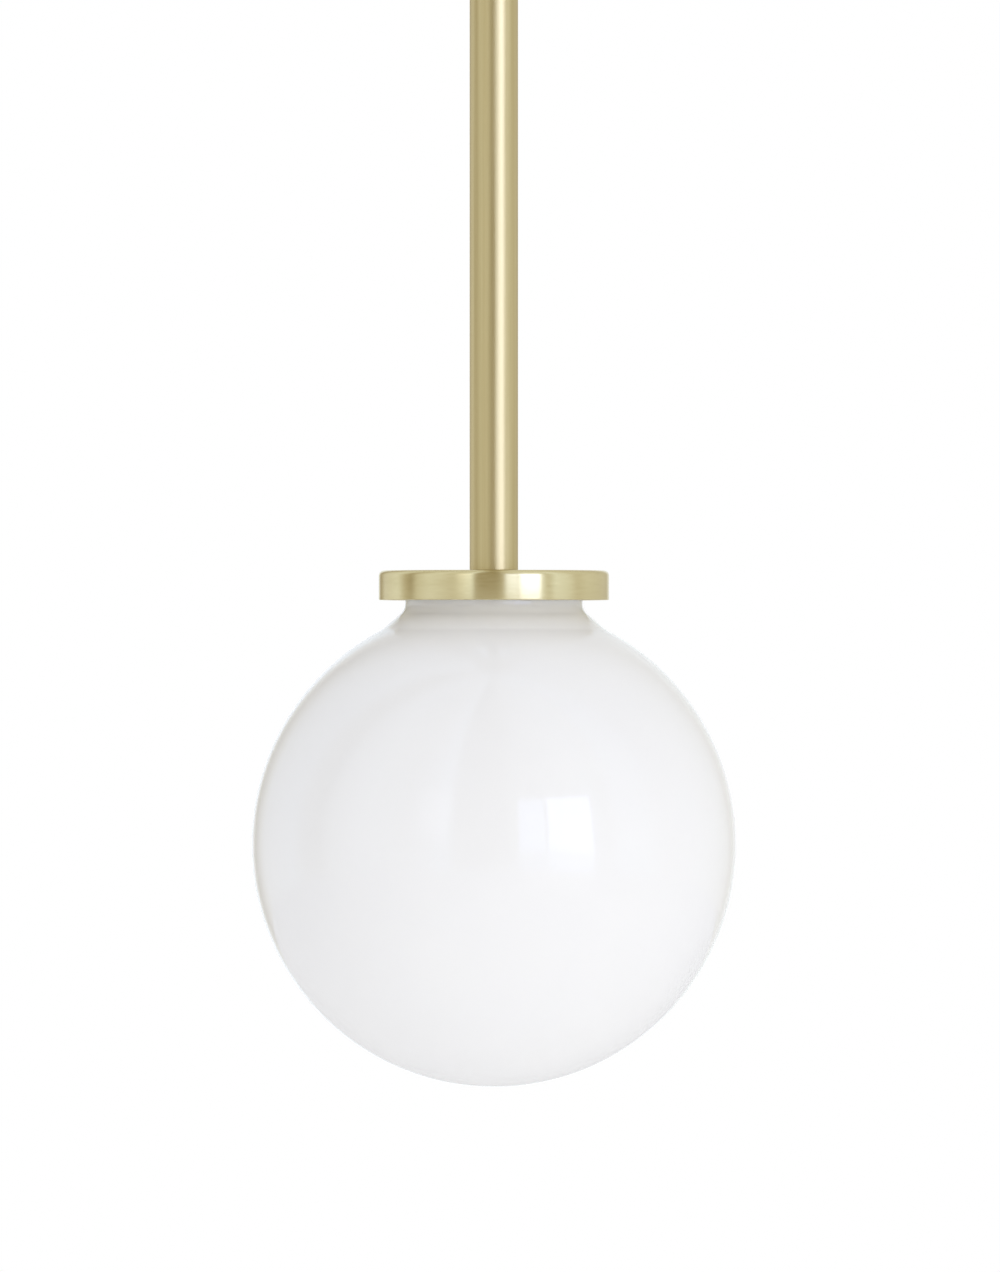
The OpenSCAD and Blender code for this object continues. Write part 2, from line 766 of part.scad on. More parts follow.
hanger_bracket();
ball_seat();
canopy();
canopy_screws();
terminal_block();
terminal_clamps();
terminal_screws();
block_screw();
earth_screw();
bracket_earth_tag();
guide_pins();
swivel_ball();
rod_top_bush();
rod();
rod_bottom_bush();
cap_nipple();
shade_cap();
thread_ring();
lampholder_bracket();
cap_earth_tag();
shakeproof_washer();
cap_lock_nut();
lampholder();
lampholder_contacts();
lampholder_screws();
live_lead();
neutral_lead();
earth_lead();
shade_gasket();
glass_globe();
lamp_base();
lamp_pins();
lamp_envelope();
led_board();
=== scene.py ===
import math
import bpy
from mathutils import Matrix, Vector


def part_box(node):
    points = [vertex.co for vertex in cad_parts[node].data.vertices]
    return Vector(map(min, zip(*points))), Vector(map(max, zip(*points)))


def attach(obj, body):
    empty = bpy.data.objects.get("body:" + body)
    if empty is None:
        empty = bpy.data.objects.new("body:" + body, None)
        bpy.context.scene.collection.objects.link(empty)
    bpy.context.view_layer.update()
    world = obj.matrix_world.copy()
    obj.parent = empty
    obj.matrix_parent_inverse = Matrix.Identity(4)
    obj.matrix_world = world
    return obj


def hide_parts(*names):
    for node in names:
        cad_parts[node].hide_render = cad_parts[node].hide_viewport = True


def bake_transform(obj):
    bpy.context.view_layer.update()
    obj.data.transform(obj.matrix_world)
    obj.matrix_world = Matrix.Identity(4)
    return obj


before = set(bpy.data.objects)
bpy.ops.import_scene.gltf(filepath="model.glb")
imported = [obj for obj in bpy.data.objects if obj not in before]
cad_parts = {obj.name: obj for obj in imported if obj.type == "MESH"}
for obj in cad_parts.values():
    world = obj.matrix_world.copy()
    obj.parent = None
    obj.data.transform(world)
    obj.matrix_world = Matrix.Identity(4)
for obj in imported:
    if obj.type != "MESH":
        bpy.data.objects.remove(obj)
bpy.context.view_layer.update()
print("frame loaded")

mm = 0.001
flat = 0.5 * mm  # how far from a plane a vertex still counts as on it
weld = 0.002 * mm  # doubles nearer than this are merged
past = 1 * mm  # how far a cutter reaches past the face that it cuts


# small helpers for working as by hand

def deselectAll():
    if bpy.context.object and bpy.context.object.mode != "OBJECT":
        bpy.ops.object.mode_set(mode="OBJECT")
    bpy.ops.object.select_all(action="DESELECT")


def pick(piece):
    deselectAll()
    piece.select_set(True)
    bpy.context.view_layer.objects.active = piece


def middleOf(node):
    low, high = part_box(node)
    return (low + high) / 2


def editWhole():
    # into edit mode, with everything selected
    bpy.ops.object.mode_set(mode="EDIT")
    bpy.ops.mesh.select_all(action="SELECT")


def selectNone(kind):
    # nothing selected, and edit mode set to vertices, edges or faces
    bpy.ops.object.mode_set(mode="EDIT")
    bpy.ops.mesh.select_mode(type=kind)
    bpy.ops.mesh.select_all(action="DESELECT")
    bpy.ops.object.mode_set(mode="OBJECT")


# these three end in edit mode, with what passes the test selected

def selectWhere(piece, test):
    selectNone("VERT")
    for v in piece.data.vertices:
        v.select = bool(test(v.co))
    bpy.ops.object.mode_set(mode="EDIT")


def selectFaces(piece, test):
    selectNone("FACE")
    for f in piece.data.polygons:
        f.select = bool(test(f.normal))
    bpy.ops.object.mode_set(mode="EDIT")


def selectEdges(piece, test):
    selectNone("EDGE")
    points = piece.data.vertices
    for e in piece.data.edges:
        e.select = bool(test(points[e.vertices[0]].co, points[e.vertices[1]].co))
    bpy.ops.object.mode_set(mode="EDIT")


def addModifier(piece, kind, **settings):
    # adds a modifier and applies it
    pick(piece)
    modifier = piece.modifiers.new(kind.title(), kind)
    for key, value in settings.items():
        setattr(modifier, key, value)
    bpy.ops.object.modifier_apply(modifier=modifier.name)


def finishPiece(piece, name, angle=35):
    # names it, puts its place in its mesh and shades it
    piece.name = name
    piece.data.name = name
    pick(piece)
    bpy.ops.object.transform_apply(location=True, rotation=True, scale=True)
    bpy.ops.object.shade_smooth_by_angle(angle=math.radians(angle))
    return piece


def arc(middle, radius, start, end, steps):
    # points round a corner of a lathe profile, angles in degrees
    angles = [math.radians(start + (end - start) * i / steps) for i in range(steps + 1)]
    return [(middle[0] + radius * math.cos(a), middle[1] + radius * math.sin(a)) for a in angles]


def drawLine(points):
    # one vertex, extruded from point to point; points are (x, y, z)
    deselectAll()
    bpy.ops.mesh.primitive_plane_add(size=mm, location=points[0])
    bpy.ops.object.mode_set(mode="EDIT")
    bpy.ops.mesh.select_mode(type="VERT")
    bpy.ops.mesh.select_all(action="SELECT")
    bpy.ops.mesh.merge(type="CENTER")
    here = Vector(points[0])
    for point in points[1:]:
        step = Vector(point) - here
        bpy.ops.mesh.extrude_region_move(TRANSFORM_OT_translate={"value": step})
        here = Vector(point)
    bpy.ops.object.mode_set(mode="OBJECT")
    bpy.ops.object.transform_apply(location=True, rotation=True, scale=True)
    return bpy.context.object


def turnOnLathe(name, profile, steps, closed=True):
    # spins a profile of (radius, height) points round the Z axis
    outline = list(profile) + ([profile[0]] if closed else [])
    piece = drawLine([(r, 0, z) for r, z in outline])
    editWhole()
    bpy.ops.mesh.spin(steps=steps, angle=2 * math.pi, center=(0, 0, 0), axis=(0, 0, 1))
    bpy.ops.mesh.select_all(action="SELECT")
    bpy.ops.mesh.remove_doubles(threshold=2 * weld)
    bpy.ops.mesh.normals_make_consistent(inside=False)
    bpy.ops.object.mode_set(mode="OBJECT")
    return finishPiece(piece, name)


def block(low, high):
    # a box between two corners
    deselectAll()
    low, high = Vector(low), Vector(high)
    bpy.ops.mesh.primitive_cube_add(size=1, location=(low + high) / 2, scale=high - low)
    bpy.ops.object.transform_apply(location=True, rotation=True, scale=True)
    return bpy.context.object


def roundBar(start, end, radius, sides):
    # a plain bar between two points
    deselectAll()
    start, end = Vector(start), Vector(end)
    along = end - start
    bpy.ops.mesh.primitive_cylinder_add(vertices=sides, radius=radius, depth=along.length,
                                        location=(start + end) / 2,
                                        rotation=along.to_track_quat("Z", "Y").to_euler())
    bpy.ops.object.transform_apply(location=True, rotation=True, scale=True)
    return bpy.context.object


def discard(piece):
    bpy.data.objects.remove(piece, do_unlink=True)


def combine(piece, other, operation="DIFFERENCE"):
    # cuts the other out, joins it on or keeps what they share; the other is used up
    addModifier(piece, "BOOLEAN", object=other, operation=operation, solver="EXACT")
    discard(other)


def drill(piece, start, end, radius, sides=48):
    combine(piece, roundBar(start, end, radius, sides))


def mill(piece, low, high):
    combine(piece, block(low, high))


def cleanMesh(piece, flatten=True):
    # merges doubles, clears the slivers that a boolean leaves in flat faces and turns the faces
    # outwards
    pick(piece)
    bpy.ops.object.mode_set(mode="EDIT")
    bpy.ops.mesh.select_mode(type="VERT")
    bpy.ops.mesh.select_all(action="SELECT")
    if flatten:
        # a flat face with holes is lost when its doubles are merged, so it is cut into triangles
        bpy.ops.mesh.quads_convert_to_tris(quad_method="BEAUTY", ngon_method="BEAUTY")
    bpy.ops.mesh.remove_doubles(threshold=weld)
    if flatten:
        bpy.ops.mesh.dissolve_limited(angle_limit=math.radians(0.5))
    bpy.ops.mesh.normals_make_consistent(inside=False)
    bpy.ops.object.mode_set(mode="OBJECT")


def soften(piece, width, segments=2, angle=35):
    # rounds its sharp edges
    addModifier(piece, "BEVEL", width=width, segments=segments, limit_method="ANGLE",
                angle_limit=math.radians(angle))


def join(pieces):
    # makes one piece of several
    deselectAll()
    for piece in pieces:
        piece.select_set(True)
    bpy.context.view_layer.objects.active = pieces[0]
    bpy.ops.object.join()
    return pieces[0]


def moveTo(piece, move=(0, 0, 0), turn=(0, 0, 0)):
    # turned about the origin, in degrees, and then moved
    pick(piece)
    piece.location = move
    piece.rotation_euler = [math.radians(a) for a in turn]
    bpy.ops.object.transform_apply(location=True, rotation=True, scale=True)
    return piece


def copyTo(piece, move=(0, 0, 0), turn=(0, 0, 0)):
    # a copy with its own mesh
    pick(piece)
    bpy.ops.object.duplicate(linked=False)
    return moveTo(bpy.context.object, move, turn)


def coilSection(section, low, high, turns, steps):
    # a closed section of (radius, height) points carried up a helix round the Z axis, from low to
    # high, with both ends left open
    coil = drawLine([(r, 0, low + z) for r, z in section])
    editWhole()
    bpy.ops.mesh.edge_face_add()
    bpy.ops.mesh.delete(type="ONLY_FACE")
    bpy.ops.object.mode_set(mode="OBJECT")
    addModifier(coil, "SCREW", axis="Z", angle=2 * math.pi * turns, screw_offset=high - low,
                iterations=1, steps=steps, render_steps=steps)
    return coil


def closeEnds():
    # fills the open ends of the active piece and turns its faces outwards
    editWhole()
    bpy.ops.mesh.fill_holes(sides=0)
    bpy.ops.mesh.select_all(action="SELECT")
    bpy.ops.mesh.normals_make_consistent(inside=False)
    bpy.ops.object.mode_set(mode="OBJECT")


def threadCrest(radius, depth, pitch, low, high):
    # the helical ridge of a screw thread
    root = radius - depth - 0.1 * mm
    foot, tip = pitch * 0.46, pitch * 0.1
    turns = (high - low) / pitch
    ridge = coilSection([(root, -foot), (radius, -tip), (radius, tip), (root, foot)],
                        low, high, turns, round(24 * turns))
    closeEnds()
    return ridge


def ringProfile(inner, outer, low, high, edge):
    # section of a plain ring or sleeve with broken edges
    return [
        (inner, low + edge), (inner + edge, low), (outer - edge, low), (outer, low + edge),
        (outer, high - edge), (outer - edge, high), (inner + edge, high), (inner, high - edge),
    ]


def drawOut(path, thickness, width):
    # sheet: a line drawn out along Y and given its thickness on both sides
    strip = drawLine(path)
    editWhole()
    bpy.ops.mesh.extrude_region_move(TRANSFORM_OT_translate={"value": (0, width, 0)})
    bpy.ops.mesh.select_all(action="SELECT")
    bpy.ops.mesh.normals_make_consistent(inside=False)
    bpy.ops.object.mode_set(mode="OBJECT")
    addModifier(strip, "SOLIDIFY", thickness=thickness, offset=0.0, use_even_offset=True)
    return strip


def bentStrip(corners, bend, thickness, low, high, steps=6):
    # folded sheet from y = low to y = high; corners are (x, z) on the middle of the sheet
    points = [Vector((x, low, z)) for x, z in corners]
    path = [points[0]]
    for before, corner, after in zip(points, points[1:], points[2:]):
        first = corner + (before - corner).normalized() * bend
        last = corner + (after - corner).normalized() * bend
        middle = first + last - corner
        for i in range(steps + 1):
            path.append(middle + bend * (first - middle).slerp(last - middle, i / steps))
    path.append(points[-1])
    return drawOut(path, thickness, high - low)


def settle(piece, name, material, body, slot, *nodes, angle=35):
    # the last steps for every piece: name, shading, finish, the body it rides on and the nodes
    # that it replaces
    finishPiece(piece, name, angle)
    coat(piece, material)
    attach(piece, body)
    if nodes:
        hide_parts(*nodes)


# materials

def linear(hexColour):
    # sRGB hex to the linear colour that a socket takes
    channels = [int(hexColour[i:i + 2], 16) / 255 for i in (1, 3, 5)]
    return (*(c / 12.92 if c <= 0.04045 else ((c + 0.055) / 1.055) ** 2.4 for c in channels), 1.0)


def addNode(tree, kind, inputs={}, stops=(), **settings):
    # one node with its settings, values or links for its sockets and the stops of its colour ramp
    new = tree.nodes.new(kind)
    for key, value in settings.items():
        setattr(new, key, value)
    for key, value in inputs.items():
        if isinstance(value, bpy.types.NodeSocket):
            tree.links.new(value, new.inputs[key])
        else:
            new.inputs[key].default_value = value
    if stops:
        ramp = new.color_ramp.elements
        while len(ramp) < len(stops):
            ramp.new(0.5)
        for stop, (position, colour) in zip(ramp, stops):
            stop.position, stop.color = position, colour
    return new


def newMaterial(name):
    material = bpy.data.materials.new(name)
    material.use_nodes = True
    material.node_tree.nodes.clear()
    return material, material.node_tree


def coat(piece, material):
    piece.data.materials.clear()
    piece.data.materials.append(material)


def grainOf(tree, scale, stretch=(1.0, 1.0, 1.0), detail=3.0):
    # noise on the piece's own place, stretched along the way it was worked; scales are per metre
    spot = addNode(tree, "ShaderNodeTexCoord")
    drawn = addNode(tree, "ShaderNodeMapping", {"Vector": spot.outputs["Object"], "Scale": stretch})
    noise = addNode(tree, "ShaderNodeTexNoise", {
        "Vector": drawn.outputs[0], "Scale": scale, "Detail": detail, "Roughness": 0.6})
    return noise.outputs["Fac"]


def shades(dark, light):
    # two shades of one colour, over the part of its range where noise mostly lies
    return (0.3, linear(dark)), (0.7, linear(light))


def satinBrass(name, light, dark, stretch, roughness, anisotropic, rotation):
    # lacquered brass, brushed with fine abrasive: its highlights spread across the scratches,
    # with a little light and dark grain along them
    material, tree = newMaterial(name)
    grain = grainOf(tree, 1.0, stretch)
    slow = grainOf(tree, 0.13, stretch, detail=1.0)
    both = addNode(tree, "ShaderNodeMath", {0: grain, 1: slow}, operation="ADD")
    half = addNode(tree, "ShaderNodeMath", {0: both.outputs[0], 1: 0.5}, operation="MULTIPLY")
    rough = addNode(tree, "ShaderNodeMapRange",
                    {"Value": grain, "To Min": roughness - 0.03, "To Max": roughness + 0.03})
    bump = addNode(tree, "ShaderNodeBump",
                   {"Height": grain, "Strength": 0.12, "Distance": 0.04 * mm})
    tangent = addNode(tree, "ShaderNodeTangent", direction_type="RADIAL", axis="Z")
    tone = addNode(tree, "ShaderNodeValToRGB", {"Fac": half.outputs[0]}, shades(dark, light))
    metal = addNode(tree, "ShaderNodeBsdfPrincipled", {
        "Base Color": tone.outputs[0], "Metallic": 1.0,
        "Roughness": rough.outputs[0], "Anisotropic": anisotropic, "Anisotropic Rotation": rotation,
        "Normal": bump.outputs[0], "Tangent": tangent.outputs[0]})
    addNode(tree, "ShaderNodeOutputMaterial", {"Surface": metal.outputs[0]})
    return material


# the scratches are finer than a render shows, so they are drawn coarser: rings about 0.7 mm
# apart on what was turned, lines about 1 mm wide along the rod, each with finer ones in it
turnedBrass = satinBrass("turned_brass", "#DCD0A6", "#D2C59A", (220, 220, 1500), 0.24, 0.9, 0.25)
brushedBrass = satinBrass("brushed_brass", "#D0C094", "#BDAC7E", (900, 900, 9), 0.3, 0.6, 0.0)


def bareMetal(name, light, dark, stain, stainAmount, scale, stretch, roughness, bumpHeight):
    # metal without lacquer: tool marks from how it was made, and stains where it was handled
    material, tree = newMaterial(name)
    marks = grainOf(tree, scale, stretch)
    blots = grainOf(tree, 160.0, detail=4.0)
    tone = addNode(tree, "ShaderNodeValToRGB", {"Fac": marks}, shades(dark, light))
    spread = addNode(tree, "ShaderNodeMapRange", {
        "Value": blots, "From Min": 0.45, "From Max": 0.75, "To Min": 0.0, "To Max": stainAmount})
    colour = addNode(tree, "ShaderNodeMixRGB", {
        0: spread.outputs[0], 1: tone.outputs[0], 2: linear(stain)})
    rough = addNode(tree, "ShaderNodeMapRange",
                    {"Value": blots, "To Min": roughness - 0.06, "To Max": roughness + 0.1})
    bump = addNode(tree, "ShaderNodeBump",
                   {"Height": marks, "Strength": 0.3, "Distance": bumpHeight})
    metal = addNode(tree, "ShaderNodeBsdfPrincipled", {
        "Base Color": colour.outputs[0], "Metallic": 1.0, "Roughness": rough.outputs[0],
        "Normal": bump.outputs[0]})
    addNode(tree, "ShaderNodeOutputMaterial", {"Surface": metal.outputs[0]})
    return material


# machined brass: rings 0.25 mm apart round the turning axis, brown where fingers touched it
rawBrass = bareMetal("machined_brass", "#D3B268", "#C4A055", "#9A7A45", 0.5,
                     1.0, (60, 60, 4000), 0.28, 0.02 * mm)
# zinc on pressed steel: even grey with a cool cast, duller where the zinc is thick
zincSteel = bareMetal("zinc_plated_steel", "#C2C6C9", "#B0B5B9", "#9FA39E", 0.4,
                      900.0, (1, 1, 1), 0.36, 0.02 * mm)
# tin over stamped copper: soft silvery skin with a warm cast
tinnedCopper = bareMetal("tinned_copper", "#CFCBC1", "#BDB8AC", "#A8987E", 0.35,
                         700.0, (1, 1, 1), 0.3, 0.015 * mm)


def dullBody(name, light, dark, scale, roughness, bumpHeight, glow=0.0, glowDepth=1.0):
    # ceramics, plastics and rubbers: a fine grain in colour and surface, and light that sinks in
    # a little; the depth that it sinks to is in millimetres
    material, tree = newMaterial(name)
    grain = grainOf(tree, scale)
    broad = grainOf(tree, 60.0, detail=2.0)
    both = addNode(tree, "ShaderNodeMath", {0: grain, 1: broad}, operation="ADD")
    half = addNode(tree, "ShaderNodeMath", {0: both.outputs[0], 1: 0.5}, operation="MULTIPLY")
    rough = addNode(tree, "ShaderNodeMapRange",
                    {"Value": broad, "To Min": roughness - 0.05, "To Max": roughness + 0.05})
    bump = addNode(tree, "ShaderNodeBump",
                   {"Height": grain, "Strength": 0.4, "Distance": bumpHeight})
    tone = addNode(tree, "ShaderNodeValToRGB", {"Fac": half.outputs[0]}, shades(dark, light))
    body = addNode(tree, "ShaderNodeBsdfPrincipled", {
        "Base Color": tone.outputs[0], "Roughness": rough.outputs[0],
        "Subsurface Weight": glow, "Subsurface Radius": (1.0, 1.0, 1.0),
        "Subsurface Scale": glowDepth * mm, "Normal": bump.outputs[0]})
    addNode(tree, "ShaderNodeOutputMaterial", {"Surface": body.outputs[0]})
    return material


# steatite: pressed and fired without glaze, chalky with a fine tooth
steatite = dullBody("steatite", "#F1EEE4", "#E4E0D3", 2600.0, 0.62, 0.03 * mm,
                    glow=0.1, glowDepth=0.6)
# polyamide as moulded: milky and waxy
nylon = dullBody("natural_nylon", "#E9E5D8", "#DFDACA", 1500.0, 0.42, 0.01 * mm,
                 glow=0.4, glowDepth=1.5)
# cured silicone: dull, dust-grey and faintly see-through
silicone = dullBody("silicone_rubber", "#D9D9D4", "#CFCFC9", 1200.0, 0.58, 0.02 * mm,
                    glow=0.5, glowDepth=1.0)
# PBT as moulded: white, half gloss, its spark-eroded grain about 0.2 mm across with finer in it
pbtPlastic = dullBody("white_pbt", "#EFEEE9", "#E8E7E1", 5000.0, 0.38, 0.008 * mm,
                      glow=0.15, glowDepth=0.8)
# white solder mask on glass-fibre board: the weave shows through as a slow ripple
solderMask = dullBody("white_solder_mask", "#F2F2EE", "#EAEAE5", 900.0, 0.3, 0.006 * mm)
# phosphor in silicone over each diode
phosphor = dullBody("yellow_phosphor", "#E8C65A", "#DDB848", 3000.0, 0.45, 0.01 * mm,
                    glow=0.2, glowDepth=0.3)
brownPvc = dullBody("brown_pvc", "#7E4A2C", "#74432A", 2200.0, 0.4, 0.01 * mm)
bluePvc = dullBody("blue_pvc", "#3F74AE", "#386BA4", 2200.0, 0.4, 0.01 * mm)


def stripedPvc():
    # earth insulation: green with two yellow stripes drawn along it, from the tube's own map
    material, tree = newMaterial("green_yellow_pvc")
    laid = addNode(tree, "ShaderNodeUVMap", uv_map="UVMap")
    parts = addNode(tree, "ShaderNodeSeparateXYZ", {"Vector": laid.outputs[0]})
    turns = addNode(tree, "ShaderNodeMath", {0: parts.outputs["Y"], 1: 4 * math.pi},
                    operation="MULTIPLY")
    wave = addNode(tree, "ShaderNodeMath", {0: turns.outputs[0]}, operation="SINE")
    edge = addNode(tree, "ShaderNodeMapRange",
                   {"Value": wave.outputs[0], "From Min": 0.15, "From Max": 0.3})
    grain = grainOf(tree, 2200.0)
    green = addNode(tree, "ShaderNodeValToRGB", {"Fac": grain}, shades("#3F8F3A", "#4A9A42"))
    colour = addNode(tree, "ShaderNodeMixRGB", {
        0: edge.outputs[0], 1: green.outputs[0], 2: linear("#E3C83A")})
    bump = addNode(tree, "ShaderNodeBump",
                   {"Height": grain, "Strength": 0.4, "Distance": 0.01 * mm})
    body = addNode(tree, "ShaderNodeBsdfPrincipled",
                   {"Base Color": colour.outputs[0], "Roughness": 0.4, "Normal": bump.outputs[0]})
    addNode(tree, "ShaderNodeOutputMaterial", {"Surface": body.outputs[0]})
    return material


earthPvc = stripedPvc()


def opalGlass():
    # blown white opal glass: a clear glossy skin over a milky body that lets light bleed a few mm
    material, tree = newMaterial("opal_glass")
    cloud = grainOf(tree, 14.0, detail=2.0)
    swell = addNode(tree, "ShaderNodeBump",
                    {"Height": cloud, "Strength": 0.2, "Distance": 0.5 * mm})
    tone = addNode(tree, "ShaderNodeValToRGB", {"Fac": cloud}, shades("#F7F7FA", "#FAFAFB"))
    glass = addNode(tree, "ShaderNodeBsdfPrincipled", {
        "Base Color": tone.outputs[0], "Roughness": 0.035, "IOR": 1.5,
        "Subsurface Weight": 0.6, "Subsurface Radius": (1.0, 1.0, 1.0), "Subsurface Scale": 6 * mm,
        "Normal": swell.outputs[0]})
    addNode(tree, "ShaderNodeOutputMaterial", {"Surface": glass.outputs[0]})
    return material


opal = opalGlass()


def frostedShell():
    # lamp envelope: clear plastic blasted inside, so light passes but nothing is seen sharply
    material, tree = newMaterial("frosted_envelope")
    frost = grainOf(tree, 3500.0)
    bump = addNode(tree, "ShaderNodeBump",
                   {"Height": frost, "Strength": 0.5, "Distance": 0.01 * mm})
    tone = addNode(tree, "ShaderNodeValToRGB", {"Fac": frost}, shades("#F6F5F1", "#FBFAF7"))
    shell = addNode(tree, "ShaderNodeBsdfPrincipled", {
        "Base Color": tone.outputs[0], "Roughness": 0.45, "IOR": 1.49,
        "Transmission Weight": 0.3, "Normal": bump.outputs[0]})
    addNode(tree, "ShaderNodeOutputMaterial", {"Surface": shell.outputs[0]})
    return material


frosted = frostedShell()
print("materials mixed")


# camera: a long lens, level, a little below the cap

capLow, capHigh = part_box("shade_cap")
globeLow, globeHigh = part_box("glass_globe")
rodLow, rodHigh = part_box("rod")

view = {"height": 0.3941, "away": 3.2, "right": 0.0019, "below cap": 0.0111, "sensor": 36.0}
cameraData = bpy.data.cameras.new("camera")
camera = bpy.data.objects.new("camera", cameraData)
bpy.context.scene.collection.objects.link(camera)
cameraData.sensor_fit = "VERTICAL"
cameraData.sensor_height = view["sensor"]
cameraData.lens = view["sensor"] * view["away"] / view["height"]
cameraData.clip_end = 50
camera.location = (view["right"], -view["away"], capLow.z - view["below cap"])
camera.rotation_euler = (math.radians(90), 0, 0)
bpy.context.scene.camera = camera
bpy.context.scene.view_settings.view_transform = "Standard"
print("camera set")


# globe

globe = {"radius": 75 * mm, "wall": 3 * mm, "neck": 27.5 * mm, "fillet": 4.4 * mm, "drop": 1 * mm,
         "slope": 41, "crease": 34.5 * mm, "valley": 9 * mm, "rim": 1.3 * mm,
         "rib": 1.3 * mm, "rib root": 1.6 * mm, "rib crest": 0.9 * mm, "rib below rim": 1.1 * mm,
         "rib sunk": 1 * mm, "rib under": 0.3 * mm, "rib round": 0.25 * mm, "rib steps": 96,
         "run out": 8, "pitch": 3.2 * mm, "turns": 1.05}


def glassProfile(inset):
    # from the neck down to the bottom pole, inset from the outer surface: hollow curve, short
    # shoulder, a soft crease and the globe
    tilt = math.radians(globe["slope"])
    outward = Vector((math.sin(tilt), math.cos(tilt)))
    down = Vector((math.cos(tilt), -math.sin(tilt)))
    curve = Vector((globe["neck"] + globe["fillet"], capLow.z - globe["drop"]))
    top = curve - globe["fillet"] * outward
    crease = top + down * (globe["crease"] - top.x) / down.x
    middle = Vector((0, crease.y - math.sqrt(globe["radius"] ** 2 - globe["crease"] ** 2)))
    # the crease is rounded by a circle that touches the shoulder and the globe from outside
    start = top + globe["valley"] * outward - middle
    along = start.dot(down)
    apart = globe["radius"] + globe["valley"]
    reach = -along - math.sqrt(along ** 2 - start.length_squared + apart ** 2)
    valley = start + middle + reach * down
    turn = math.degrees(math.atan2(valley.y - middle.y, valley.x - middle.x))
    return (
        arc(curve, globe["fillet"] + inset, 180, 270 - globe["slope"], 12)
        + arc(valley, globe["valley"] + inset, 270 - globe["slope"], 180 + turn, 5)
        + arc(middle, globe["radius"] - inset, turn, -90, 96)
    )


rimTop = globeHigh.z
neckIn = globe["neck"] - globe["wall"]
rim = globe["rim"]
rimArc = (arc((neckIn + rim, rimTop - rim), rim, 180, 90, 6)
          + arc((globe["neck"] - rim, rimTop - rim), rim, 90, 0, 6))
outside = glassProfile(0)
inside = glassProfile(globe["wall"])
inside[-1] = (0, inside[-1][1])  # the last point lies on the axis exactly
outside[-1] = (0, outside[-1][1])
opalGlobe = turnOnLathe("opal_globe", rimArc + outside, steps=192, closed=False)
innerWall = turnOnLathe("opal_globe_inside", [rimArc[0]] + inside, steps=192, closed=False)
join([opalGlobe, innerWall])
cleanMesh(opalGlobe, flatten=False)


def threadRib():
    # the moulded rib: a tapered section carried up a helix, thinning away at both ends
    ribHigh = rimTop - globe["rib below rim"]
    ribLow = ribHigh - globe["pitch"] * globe["turns"]
    neck = globe["neck"]
    sunk, crest = neck - globe["rib sunk"], neck + globe["rib"]
    root, tip = globe["rib root"] / 2, globe["rib crest"] / 2
    steps = round(globe["rib steps"] * globe["turns"])
    rib = coilSection([(sunk, -root), (crest, -tip), (crest, tip), (sunk, root)],
                      ribLow, ribHigh, globe["turns"], steps)
    # at both ends it sinks into the neck, from one step of the helix to the next
    rise, under = (ribHigh - ribLow) / steps, globe["rib under"]
    for end, up in ((ribLow, 1), (ribHigh, -1)):
        for station in range(globe["run out"]):
            level = end + up * rise * station
            around = 2 * math.pi * (level - ribLow) / globe["pitch"]
            spoke = Vector((math.cos(around), math.sin(around)))
            selectWhere(rib, lambda co: co.xy.normalized().dot(spoke) > math.cos(0.02)
                        and co.xy.length > neck and abs(co.z - level) < globe["pitch"] / 2)
            height = (globe["rib"] + under) * station / globe["run out"]
            shrink = (neck - under + height) / crest
            bpy.ops.transform.resize(value=(shrink, shrink, 1), center_override=(0, 0, 0))
            bpy.ops.object.mode_set(mode="OBJECT")
    closeEnds()
    soften(rib, globe["rib round"], angle=40)
    return rib


combine(opalGlobe, threadRib(), "UNION")
settle(opalGlobe, "opal_globe", opal, "globe", "opal_glass", "glass_globe", angle=40)
print("globe turned")


# shade cap

cap = {"radius": 35.7 * mm, "wall": 1.2 * mm, "edge": 1.6 * mm, "lip": 0.25 * mm, "hole": 5.06 * mm,
       "inside": 0.5 * mm}


def cupProfile(size, closedEnd, openEnd):
    # a turned cup from the hole outwards, over the edge, down the side and back inside
    up = 1 if closedEnd > openEnd else -1
    corner = (size["radius"] - size["edge"], closedEnd - up * size["edge"])
    outerLip = (size["radius"] - size["lip"], openEnd + up * size["lip"])
    innerWall = size["radius"] - size["wall"]
    innerLip = (innerWall + size["lip"], openEnd + up * size["lip"])
    roof = closedEnd - up * size["wall"]
    nook = (innerWall - size["inside"], roof - up * size["inside"])
    small = 0.15 * mm
    return (
        [(size["hole"], closedEnd - up * small), (size["hole"] + small, closedEnd)]
        + arc(corner, size["edge"], 90 * up, 0, 10)
        + arc(outerLip, size["lip"], 0, -90 * up, 4)
        + arc(innerLip, size["lip"], -90 * up, -180 * up, 4)
        + arc(nook, size["inside"], 0, 90 * up, 4)
        + [(size["hole"], roof)]
    )


shadeCap = turnOnLathe("turned_cap", cupProfile(cap, capHigh.z, capLow.z), steps=192)
settle(shadeCap, "turned_cap", turnedBrass, "pendant", "turned_brass", "shade_cap")
print("cap turned")


# rod and its bushes

rod = {"radius": 7.5 * mm, "wall": 1 * mm, "edge": 0.25 * mm, "bush bore": 5.06 * mm,
       "bush play": 0.03 * mm, "bush edge": 0.4 * mm}
rodBore = rod["radius"] - rod["wall"]
section = ringProfile(rodBore, rod["radius"], rodLow.z, rodHigh.z, rod["edge"])
brassRod = turnOnLathe("brushed_rod", section, steps=96)
settle(brassRod, "brushed_rod", brushedBrass, "pendant", "brushed_brass", "rod")

